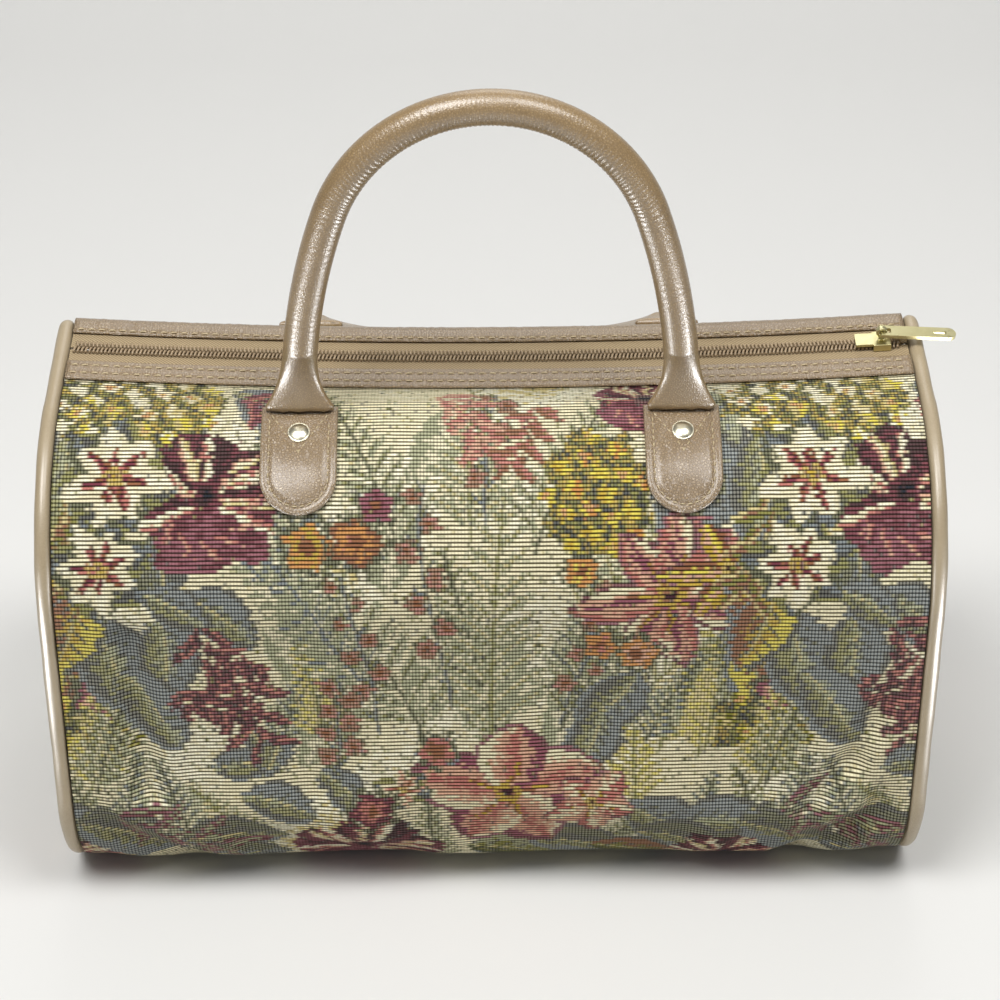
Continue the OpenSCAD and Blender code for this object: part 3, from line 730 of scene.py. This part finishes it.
def cloth_give(x, v, girth):
    """How far the cloth gives way inward, none where it is sewn or riveted."""
    give = np.zeros_like(x)
    for x0, v0, x1, v1, width, depth in FOLDS:
        for top in (0.0, girth):
            a = np.array([x0, abs(top - v0)])
            b = np.array([x1, abs(top - v1)])
            ab = b - a
            t = np.clip(((x - a[0]) * ab[0] + (v - a[1]) * ab[1]) / (ab @ ab), 0, 1)
            d = np.hypot(x - a[0] - t * ab[0], v - a[1] - t * ab[1])
            swell = 0.45 * depth * np.exp(-(((d - 1.9 * width) / width) ** 2))
            give += depth * np.exp(-((d / width) ** 2)) - swell
    face = np.exp(-(((v - 160) / 48) ** 2)) + np.exp(-(((girth - v - 130) / 60) ** 2))
    give += 2.4 * face * np.cos(x / HALF_LENGTH * np.pi / 2) ** 1.2
    give += 0.5 * np.sin(x / 17 + 1.2 * np.sin(v / 23)) * np.sin(v / 29)
    sewn = smooth((HALF_LENGTH - np.abs(x)) / 22) * smooth((v - 16) / 20) * smooth((girth - v - 30) / 24)
    flat = smooth((np.abs(v - girth * UNDERSIDE) - 42) / 26)
    beside = smooth((np.abs(np.abs(x) - LEG_X) - 19) / 14)
    below = np.maximum(smooth((v - 76) / 16) * smooth((girth - v - 78) / 16), beside)
    return np.clip(give * sewn * flat * below, -1.4, 6)


# Body of the bag
rows, girth_at = resample(SECTION, RIB)
GIRTH = girth_at[-1]
columns = np.linspace(-HALF_LENGTH, HALF_LENGTH, int(round(2 * HALF_LENGTH / WARP)) + 1)
X, V = np.meshgrid(columns, girth_at)
sunk = (rows[:, 4:] * sag_at(X))[..., None] * TOP_NORMAL
give = cloth_give(X, V, GIRTH)[..., None]
YZ = rows[:, None, :2] - rows[:, None, 2:4] * give - sunk
cell_v = centres(V)
weave = Weave(centres(X), np.where(cell_v < GIRTH / 2, cell_v, GIRTH - cell_v))
weave.garden()
cloth_points = np.concatenate([X[..., None], YZ], -1)
cloth_uv = np.stack(np.broadcast_arrays(X / CLOTH_UV, np.arange(len(girth_at))[:, None]), -1)
cloth_flat = np.stack([X, V], -1)
dyed_cells = weave.cells().reshape(len(girth_at) - 1, len(columns) - 1, 4)
under = int(UNDERSIDE * len(girth_at))
for name, first, last in (("tapestry_front", 0, under), ("tapestry_rear", under, len(girth_at) - 1)):
    part = slice(first, last + 1)
    cloth = make_piece(
        name, cloth_points[part], grid_faces(last + 1 - first, len(columns), flip=True), WEAVE, "tapestry",
        stands_for=("body_panel",),
    )
    bake_uv = (cloth_flat[part].reshape(-1, 2) + [HALF_LENGTH, -girth_at[first]]) / (2 * HALF_LENGTH)
    part_cells = dyed_cells[first:last].reshape(-1, 4)
    colour_cells(cloth, part_cells, len(columns), cloth_uv[part].reshape(-1, 2), bake_uv)

# End panels, domed a little by what is inside
PANEL_COLUMNS, TRIMMED = 220, 0.02
PANEL_MID, BULGE = np.array([0.0, 98.0]), 4.5
# Where the garden lies on the ends, and the corner and span of their baked map
GARDEN_SHIFT, GARDEN_TOP = -60, 232
BAKE_CORNER, BAKE_SPAN = (100, 5), 225


def polar(yz):
    """Angle and distance of places on an end from its middle."""
    y, z = np.moveaxis(yz - PANEL_MID, -1, 0)
    return np.arctan2(z, y), np.hypot(y, z)


loop_rows, loop_at = resample(OUTLINE, 2.0, closed=True)
piping_inset = PIPING_INSET + (PIPING_R - PIPING_INSET) * np.maximum(0, -loop_rows[:, 3])
panel_edge = loop_rows[:, :2] - loop_rows[:, 2:4] * (piping_inset + PIPING_R + SEAT)[:, None]
(y0, z0), (y1, z1) = panel_edge.T, np.roll(panel_edge, -1, 0).T
levels = np.linspace(z0.min() + TRIMMED, z0.max() - TRIMMED, int(np.ptp(z0) / RIB) + 1)
spans = []
for z in levels:
    k = (z0 - z) * (z1 - z) < 0
    y = y0[k] + (z - z0[k]) / (z1[k] - z0[k]) * (y1[k] - y0[k])
    spans.append(np.linspace(y.min(), y.max(), PANEL_COLUMNS))
panel = np.stack(np.broadcast_arrays(np.stack(spans), levels[:, None]), -1)
turn, reach = polar(panel)
out = np.clip(reach / np.interp(turn, *polar(panel_edge), period=2 * np.pi), 0, 1)
dome = END_X + CLOTH / 2 + BULGE * (1 - out**2) ** 1.2
panel_flat = panel.reshape(-1, 2)
panel_uv = np.c_[panel_flat[:, 0] / CLOTH_UV, np.repeat(np.arange(len(levels)), PANEL_COLUMNS)]
panel_bake = (panel_flat + BAKE_CORNER) / BAKE_SPAN
cell_y, cell_z = np.moveaxis(centres(panel), -1, 0)
for side, end in SIDES:
    piece = make_piece(
        f"tapestry_{end}_end", np.concatenate([side * dome[..., None], panel], -1),
        grid_faces(*dome.shape, flip=side < 0), WEAVE, "tapestry", stands_for=(f"{end}_end_panel",),
    )
    end_weave = Weave(side * cell_y + GARDEN_SHIFT, GARDEN_TOP - cell_z)
    end_weave.garden()
    colour_cells(piece, end_weave.cells(), PANEL_COLUMNS, panel_uv, panel_bake)

# Piping round the ends, a cord rolled in vinyl, its thickness rippling slightly along it
for side, end in SIDES:
    mid = loop_rows[:, :2] - loop_rows[:, 2:4] * piping_inset[:, None]
    path = np.c_[np.full(len(mid), side * END_X), mid]
    out = np.c_[np.zeros(len(mid)), loop_rows[:, 2:4]]
    sideways = np.repeat([[side, 0.0, 0.0]], len(mid), 0)
    ripple = PIPING_R - 0.1 + 0.07 * np.sin(loop_at / 9) + 0.05 * np.sin(loop_at / 3.7 + 1)
    order = np.stack([out, sideways] if side < 0 else [sideways, out], 1)
    pts, faces = tube(path, order, ripple, 20, closed=True)
    make_piece(f"vinyl_{end}_piping", pts, faces, VINYL, "piping_vinyl", stands_for=(f"{end}_piping",))


# Zip: bands, coil and their stitches follow one sagging arc
def zip_point(s, n, x):
    """Place in the part's frame for a place across, above and along the zip."""
    s, n, x = np.broadcast_arrays(s, n, x)
    phi = np.arcsin(x / ARC_R)
    up = n * np.cos(phi) + ARC_R * (1 - np.cos(phi)) - ZIP_SAG
    along = (ARC_R - n) * np.sin(phi)
    yz = ZIP_MID + s[..., None] * TOP_DIR + up[..., None] * TOP_NORMAL
    return np.concatenate([along[..., None], yz], -1)


def band_profile(mid, normal, thickness, grooves):
    """Closed outline of a folded strip round its under side, pressed in along its stitch rows."""
    d = length_along(mid)
    edge = np.minimum(d, d[-1] - d)
    full = np.sqrt(np.clip(1 - (1 - np.clip(edge / 0.75, 0, 1)) ** 2, 0.02, 1))
    press = sum(0.32 * np.exp(-(((d - g) / 0.55) ** 2)) for g in grooves)
    crown = 0.16 * np.sin(np.pi * (d / d[-1]))
    top = mid + normal * (thickness * (0.5 + 0.5 * full) - press + crown - 0.16)[:, None]
    under = mid + normal * (thickness * (0.5 - 0.5 * full))[:, None]
    return np.vstack([top, under[::-1]])


ALONG = np.linspace(-HALF_LENGTH, HALF_LENGTH, 180)
STITCH_PITCH = 4.15
FRONT_GROOVES, REAR_GROOVE = (3.4, 8.2), 1.6


def sweep_band(name, profile, node):
    pts = zip_point(profile[:, 0], profile[:, 1], ALONG[:, None])
    pucker = 0.1 * np.sin(ALONG * 2 * np.pi / STITCH_PITCH) + 0.08 * rng.standard_normal(len(ALONG))
    half = len(profile) // 2
    lift = np.r_[np.sin(np.linspace(0, np.pi, half)), np.zeros(len(profile) - half)]
    pts[..., 1:] += np.outer(pucker, lift)[..., None] * TOP_NORMAL
    faces = capped_rings(len(ALONG), len(profile))
    make_piece(name, pts, faces, TRIM, "trim_leatherette", stands_for=(node,))


across = np.linspace(-BAND_END, -BAND_EDGE, 34)
front_mid = np.c_[across, np.full(len(across), SEAT)]
front_normal = np.repeat([[0.0, 1.0]], len(across), 0)
front_profile = band_profile(front_mid, front_normal, BAND_THICK, FRONT_GROOVES)
sweep_band("stitched_front_band", front_profile, "front_band")
rolled = CREST_ARC[::-1]
flat_arc = np.c_[(rolled[:, :2] - ZIP_MID) @ TOP_DIR, (rolled[:, :2] - ZIP_MID) @ TOP_NORMAL]
flat_normal = np.c_[rolled[:, 2:4] @ TOP_DIR, rolled[:, 2:4] @ TOP_NORMAL]
across = np.linspace(BAND_EDGE, flat_arc[0, 0], 20, endpoint=False)
rear_mid = np.vstack([np.c_[across, np.zeros(len(across))], flat_arc])
rear_normal = np.vstack([np.repeat([[0.0, 1.0]], len(across), 0), flat_normal])
rear_rows, _ = resample(np.c_[rear_mid, rear_normal], 0.4)
seated = rear_rows[:, :2] + rear_rows[:, 2:4] * SEAT
rear_profile = band_profile(seated, rear_rows[:, 2:4], BAND_THICK, (REAR_GROOVE,))
sweep_band("stitched_rear_band", rear_profile, "rear_band")

UP = np.r_[0.0, TOP_NORMAL]
threads = []
for s in (-BAND_END + FRONT_GROOVES[0], -BAND_END + FRONT_GROOVES[1], BAND_EDGE + REAR_GROOVE):
    for x in np.arange(-HALF_LENGTH + 3, HALF_LENGTH - 2, STITCH_PITCH):
        tilt = np.r_[1.0, 0.05 * TOP_DIR] + rng.normal(0, 0.02, 3)
        at = zip_point(s, SEAT + BAND_THICK - 0.42, x + rng.normal(0, 0.06))
        threads.append(stitch(at, tilt, UP, length=3.2, radius=0.36, lift=0.44))
make_piece("band_stitches", *join(threads), THREAD, "thread")

# One turn of the coil: across from the middle, above the tape, and along the zip
TURN_ACROSS = np.array([0.46, 0.56, 1.1, 2.0, 2.8, 3.1])
TURN_UP = np.array([0.62, 1.12, 1.34, 1.34, 1.1, 0.55])
TURN_ALONG = np.array([0.34, 0.3, 0.12, -0.12, -0.3, -0.34])
COIL_WIRE = 0.5
coil_end = HALF_LENGTH - COIL_PITCH
turns = int(2 * coil_end // COIL_PITCH)
for side, at in ((-1, "front"), (1, "rear")):
    made = []
    begin = -coil_end + (0 if side < 0 else COIL_PITCH / 2)
    for i in range(turns):
        x = begin + (i + 0.25) * COIL_PITCH
        path = zip_point(side * TURN_ACROSS, TURN_UP, x + TURN_ALONG)
        step = unit(np.gradient(path, axis=0))
        out = unit(np.cross(step, [1.0, 0, 0]))
        made.append(tube(path, np.stack([np.cross(out, step), out], 1), COIL_WIRE, 6))
    make_piece(f"{at}_coil_turns", *join(made), NYLON, "zip_coil", stands_for=(f"{at}_zip_coil",))
    dress(nodes[f"{at}_zip_tape"].data, TWILL)

# Metal pieces keep their solids' forms, with softened edges
for body, width in (("slider", 0.22), ("pull", 0.3)):
    mesh = nodes[f"zip_{body}"].data.copy()
    metal = add_piece(f"brass_{body}", mesh, ZIP_BRASS, "zip_brass", body, (f"zip_{body}",))
    metal.modifiers.new("weld", "WELD").merge_threshold = 1e-6
    bevel = metal.modifiers.new("soft_edges", "BEVEL")
    bevel.width, bevel.segments, bevel.limit_method = width * MM, 3, "ANGLE"
    bevel.angle_limit = math.radians(35)
    metal.modifiers.new("normals", "WEIGHTED_NORMAL")


# Tabs on the shoulder and on the rear slope
def shoulder_place(x, q, n):
    """Place on the front shoulder, q along the tab toward the zip and n off the cloth."""
    a = np.radians(180 - HINGE_ANGLE) - np.asarray(q) / SHOULDER_R
    r = SHOULDER_R + np.asarray(n)
    return np.stack([x, SHOULDER_C[0] + r * np.cos(a), SHOULDER_C[1] + r * np.sin(a)], -1)


def rear_place(x, q, n):
    """Place on the rear slope, in the same terms."""
    p = CREST + REAR_DIR * REAR_HINGE
    q, n = np.asarray(q), np.asarray(n)
    y, z = (p[k] - REAR_DIR[k] * q + REAR_NORMAL[k] * n for k in (0, 1))
    return np.stack([x, y, z], -1)


def tab_outline(inset, sides, ends, top):
    """Round-bottomed outline of a tab, drawn in by an inset."""
    half = TAB_WIDTH / 2 - inset
    high, low = FLARE_THICK / 2 - inset, -(TAB_LENGTH - TAB_WIDTH / 2)
    left = np.c_[np.full(sides, -half), np.linspace(high, low, sides, endpoint=False)]
    a = np.linspace(np.pi, 2 * np.pi, ends, endpoint=False)
    arc = np.c_[half * np.cos(a), low + half * np.sin(a)]
    right = np.c_[np.full(sides, half), np.linspace(low, high, sides, endpoint=False)]
    across = np.c_[np.linspace(half, -half, top, endpoint=False), np.full(top, high)]
    return np.vstack([left, arc, right, across])


TAB_RINGS = [
    (0.0, 0.0), (0.0, 0.72), (0.2, 0.9), (0.6, 1.0), (1.4, 1.02), (2.6, 1.0), (3.1, 0.84), (3.5, 0.83),
    (4.1, 1.0), (6.0, 1.06), (9.0, 1.1), (12.0, 1.11), (13.6, 1.11),
]
# Points down each side of a tab's outline, round its end and across its top
TAB_SIDE, TAB_END, TAB_TOP = 18, 28, 14
SIDE_FOOT, SIDE_HEAD = TAB_SIDE - 1, 2 * TAB_SIDE + TAB_END - 1
STITCH_INSET, STITCH_FROM, TAB_STITCH = 3.3, 4.5, 2.9
# Stitches in a V under the rivet
V_HALF, V_TIP, V_TOP = 10.6, -19.5, -3.0
tab_threads = []
for at, place in (("front", shoulder_place), ("rear", rear_place)):
    for sign, end in SIDES:
        rings = []
        for inset, height in TAB_RINGS:
            edge = tab_outline(inset, TAB_SIDE, TAB_END, TAB_TOP)
            crown = np.where(edge[:, 1] > -5, np.minimum(height, 1.0), height)
            rings.append(place(sign * LEG_X + edge[:, 0], edge[:, 1], SEAT + TAB_THICK * crown))
        n = len(rings[0])
        faces = grid_faces(len(rings), n, wrap_cols=True).tolist()
        top = (len(rings) - 1) * n
        for k in range(SIDE_FOOT):
            faces.append([top + k, top + k + 1, top + SIDE_HEAD - 1 - k, top + SIDE_HEAD - k])
        faces.append([top + k for k in range(SIDE_FOOT, TAB_SIDE + TAB_END + 1)])
        faces.append([top + k % n for k in range(SIDE_HEAD, n + 1)])
        faces.append(list(range(n))[::-1])
        make_piece(
            f"leather_{at}_{end}_tab", np.stack(rings), faces, TRIM, "trim_leatherette",
            stands_for=(f"{at}_{end}_tab",),
        )
        line = tab_outline(STITCH_INSET, 60, 90, 1)[:-1]
        steps = length_along(line)
        marks = np.arange(STITCH_FROM, steps[-1] - STITCH_FROM, TAB_STITCH)
        here, ahead = (
            np.c_[np.interp(d, steps, line[:, 0]), np.interp(d, steps, line[:, 1])]
            for d in (marks, marks + 0.6)
        )
        pairs = list(zip(here, ahead - here))
        for v_side in (-V_HALF, V_HALF):
            tip, head = np.array([0.0, V_TIP]), np.array([v_side, V_TOP])
            pairs += [(tip + (head - tip) * t, head - tip) for t in np.linspace(0.02, 0.98, 7)]
        for m, way in pairs:
            if np.hypot(m[0], m[1] + RIVET_DROP) < RIVET_R + 0.6:
                continue
            x, top = sign * LEG_X + m[0], SEAT + TAB_THICK
            base, above = place(x, m[1], top), place(x, m[1], top + 1)
            ahead = place(x + way[0] * 0.05, m[1] + way[1] * 0.05, top)
            in_v = abs(m[0]) < TAB_WIDTH / 2 - STITCH_INSET - 0.5 and m[1] > -20
            lift = 0.3 if in_v else 0.02
            thread = stitch(base, ahead - base, above - base, length=2.2, radius=0.3, lift=lift)
            tab_threads.append(thread)
make_piece("tab_stitches", *join(tab_threads), THREAD, "thread")


# Rivets: low domes with a rolled rim
def rivet_head(place, x, sides=40):
    ball = (RIVET_R**2 + RIVET_HEIGHT**2) / (2 * RIVET_HEIGHT)
    base = 2 * SEAT + TAB_THICK
    inward = np.linspace(0.93, 0.0, 14)
    r = np.r_[1.4, RIVET_R * np.array([0.8, 0.97, 1.0, 0.97]), RIVET_R * inward]
    dome = base + RIVET_HEIGHT - ball + np.sqrt(ball**2 - inward**2 * RIVET_R**2)
    n = np.r_[base - 0.2, base, base + 0.08, base + 0.28, base + 0.42, dome]
    a = around(sides)
    rr = np.maximum(r, 0.02)[:, None]
    pts = place(x + rr * np.cos(a), -RIVET_DROP + rr * np.sin(a), np.repeat(n[:, None], sides, 1))
    return pts.reshape(-1, 3), grid_faces(len(r), sides, wrap_cols=True).tolist()


make_piece(
    "rivet_heads",
    *join([rivet_head(p, s * LEG_X) for p in (shoulder_place, rear_place) for s in (-1, 1)]),
    RIVET_BRASS, "rivet_brass", stands_for=("handle_rivets",),
)

# Handles: rolled leather on a three-arc arch, flattened at its ends
SIDE_R = (LEG_X**2 + (RISE - ARCH_R) ** 2 - ARCH_R**2) / (2 * (LEG_X - ARCH_R))
JOINT = math.degrees(math.atan2(RISE - ARCH_R, SIDE_R - LEG_X))
CREASE, END_ROLL = 1.8, 2.3


def arch_point(a):
    c, s = cos_sin(a)
    if JOINT <= a <= 180 - JOINT:
        return np.array([ARCH_R * c, RISE - ARCH_R + ARCH_R * s])
    return np.array([SIDE_R * c - math.copysign(SIDE_R - LEG_X, c), SIDE_R * s])


def handle_rings(sides=40):
    """Rings round the arch from one flat end to the other, creased across where the leather bends."""
    round_turn = math.degrees(math.asin(FLARE_LENGTH / SIDE_R))
    half = np.r_[np.linspace(0, round_turn, 26), np.linspace(round_turn, JOINT, 90)[1:],
                 np.linspace(JOINT, 90, 190)[1:]]
    angles = np.r_[half, 180 - half[:-1][::-1]]
    middles = np.stack([arch_point(a) for a in angles])
    b = -around(sides)
    inner = smooth((0.75 - np.cos(b)) / 1.6)
    rings = []
    for a, p, d in zip(angles, middles, length_along(middles)):
        k = np.clip(p[1] / FLARE_LENGTH, 0, 1)
        bent = smooth((p[1] - 0.45 * RISE) / (0.4 * RISE))
        w = TUBE + (FLARE_WIDTH - TUBE) * (1 - k) ** 2.5
        t = FLARE_THICK + (TUBE - FLARE_THICK) * k**2.4
        e = 0.6 + 0.4 * k
        stray = 2.8 * np.sin(d / 5.3) + 3.0 * np.sin(1.6 * b + d / 8) + 1.6 * np.sin(d / 2.3)
        wave = np.sin(2 * np.pi * d / CREASE + stray)
        pinch = 1 - k * (0.004 + 0.01 * bent * inner) * (1 + wave)
        c = np.sign(np.cos(b)) * np.abs(np.cos(b)) ** e * pinch
        s = np.sign(np.sin(b)) * np.abs(np.sin(b)) ** e * pinch
        way = cos_sin(a)
        rings.append(np.c_[p[0] + w / 2 * c * way[0], t / 2 * s, p[1] + w / 2 * c * way[1]])
    return np.stack(rings)


def handle_points():
    """The handle with its rolled, slightly ragged ends."""
    rings = handle_rings()
    ends = []
    for ring in (rings[0], rings[-1]):
        ragged = 0.9 * np.sin(ring[:, 0] * 0.8) + 0.6 * np.sin(ring[:, 0] * 1.9 + 1)
        roll = []
        for depth in (0.9, 1.7, 2.1):
            lower = ring.copy()
            lower[:, 1] *= math.sqrt(max(0.02, 1 - (depth / END_ROLL) ** 2))
            lower[:, 0] = (lower[:, 0] - ring[:, 0].mean()) * 0.985 + ring[:, 0].mean()
            lower[:, 2] = -depth + 0.3 * ragged
            roll.append(lower)
        ends.append(roll)
    return np.concatenate([np.stack(ends[0][::-1]), rings, np.stack(ends[1])])


for at, place, lean in (("front", shoulder_place, 0.0), ("rear", rear_place, REAR_HANG)):
    pts = handle_points()
    c, s = cos_sin(lean)
    _, y, z = place(0.0, 0.0, STANDOFF)
    swung_y = pts[..., 1] * c + pts[..., 2] * s
    swung_z = pts[..., 2] * c - pts[..., 1] * s
    placed = np.stack([pts[..., 0], y + swung_y, z + swung_z], -1)
    make_piece(
        f"rolled_{at}_handle", placed, capped_rings(*placed.shape[:2]), HANDLE, "trim_leatherette",
        body=f"{at}_grip", stands_for=(f"{at}_handle", f"{at}_handle_core"),
    )

# Hidden pieces
for node, metal, colours in (
    ("base_board", 0.0, ((78, 70, 62), (60, 54, 48))),
    ("rivet_washers", 1.0, ((206, 196, 160), (170, 158, 120))),
):
    m = Nodes(node + "_finish", 0.6, metal)
    m.to("Base Color", m.mix(m.noise(120, 3), *colours))
    dress(nodes[node].data, m.material)

# Stage: a pale floor that sweeps up far behind
FLOOR_REACH, SWEEP_FROM, SWEEP_R, BACK_TOP = 24000, 900, 700, 3200
bend = np.linspace(0.05, np.pi / 2, 24)
level = np.linspace(-FLOOR_REACH, SWEEP_FROM, 30)
depth = np.r_[level, SWEEP_FROM + SWEEP_R * np.sin(bend), SWEEP_FROM + SWEEP_R]
height = np.r_[np.zeros(len(level)), SWEEP_R - SWEEP_R * np.cos(bend), BACK_TOP]
sweep_x = np.linspace(-FLOOR_REACH, FLOOR_REACH, 9)
floor_points = np.stack(np.broadcast_arrays(sweep_x, depth[:, None], height[:, None]), -1)
floor_mesh = new_mesh("floor", floor_points, grid_faces(*floor_points.shape[:2]))
paint = Nodes("pale_floor", 0.9)
paint.set(Base_Color=(*linear((222, 221, 218)), 1))
add_smooth("floor", floor_mesh, paint.material)

# Camera and light
CAMERA_AZ, CAMERA_EL, CAMERA_DISTANCE = -0.76, 29.99, 1.054
TARGET, LIT = np.array([0.0042, 0.0, 0.1346]), np.array([0.0, 0.0, 0.15])
SENSOR = 36
LENS = 2.525 * SENSOR


def look_at(obj, place, target):
    back = unit(place - target)
    right = unit(np.cross([0, 0, 1.0], back))
    up = np.cross(back, right)
    rows = np.c_[right, up, back, place]
    obj.matrix_world = Matrix([*rows.tolist(), [0, 0, 0, 1]])


(az_c, az_s), (el_c, el_s) = cos_sin(CAMERA_AZ), cos_sin(CAMERA_EL)
back = np.array([az_s * el_c, -az_c * el_c, el_s])
camera = add_object("camera", bpy.data.cameras.new("camera"))
camera.data.sensor_width, camera.data.lens = SENSOR, LENS
look_at(camera, TARGET + back * CAMERA_DISTANCE, TARGET)
scene.camera = camera


def add_lamp(name, wide, high, power, gloss_only=False):
    lamp = bpy.data.lights.new(name, "AREA")
    lamp.shape = "RECTANGLE"
    lamp.size, lamp.size_y, lamp.energy = wide, high, power
    obj = add_object(name, lamp)
    obj.visible_diffuse = obj.visible_camera = not gloss_only
    return obj


for name, place, size, power in (
    ("key", (-0.6, -0.72, 1.85), 0.9, 27),
    ("second", (0.58, -0.56, 1.8), 0.8, 18),
    ("rear", (0.1, 1.2, 1.5), 0.9, 5),
):
    look_at(add_lamp(name, size, size, power), np.array(place), LIT)

# Lamps that only show as gloss: strips on the floor at both sides, and one above the tabs
STRIP_ANGLE, STRIP_OUT = 62, 0.5
strip_c, strip_s = cos_sin(STRIP_ANGLE)
down = np.array([0.0, 0.0, -1.0])
for side in (-1, 1):
    strip = add_lamp("gloss_strip", 0.17, 0.44, 6.5, gloss_only=True)
    along = np.array([side * strip_s, -strip_c, 0.0])
    place = np.array([0.0, -0.08, 0.012]) + STRIP_OUT * along
    across = np.cross(along, down)
    strip.matrix_world = Matrix([*np.c_[across, along, down, place].tolist(), [0, 0, 0, 1]])
look_at(add_lamp("gloss_over", 0.4, 0.4, 2.4, gloss_only=True), np.array([-0.3, -0.55, 1.05]), LIT)

world = bpy.data.worlds.new("studio")
world.use_nodes = True
sky = world.node_tree.nodes["Background"]
sky.inputs["Color"].default_value = (0.86, 0.88, 0.9, 1)
sky.inputs["Strength"].default_value = 0.22
scene.world = world
scene.view_settings.view_transform = "Standard"
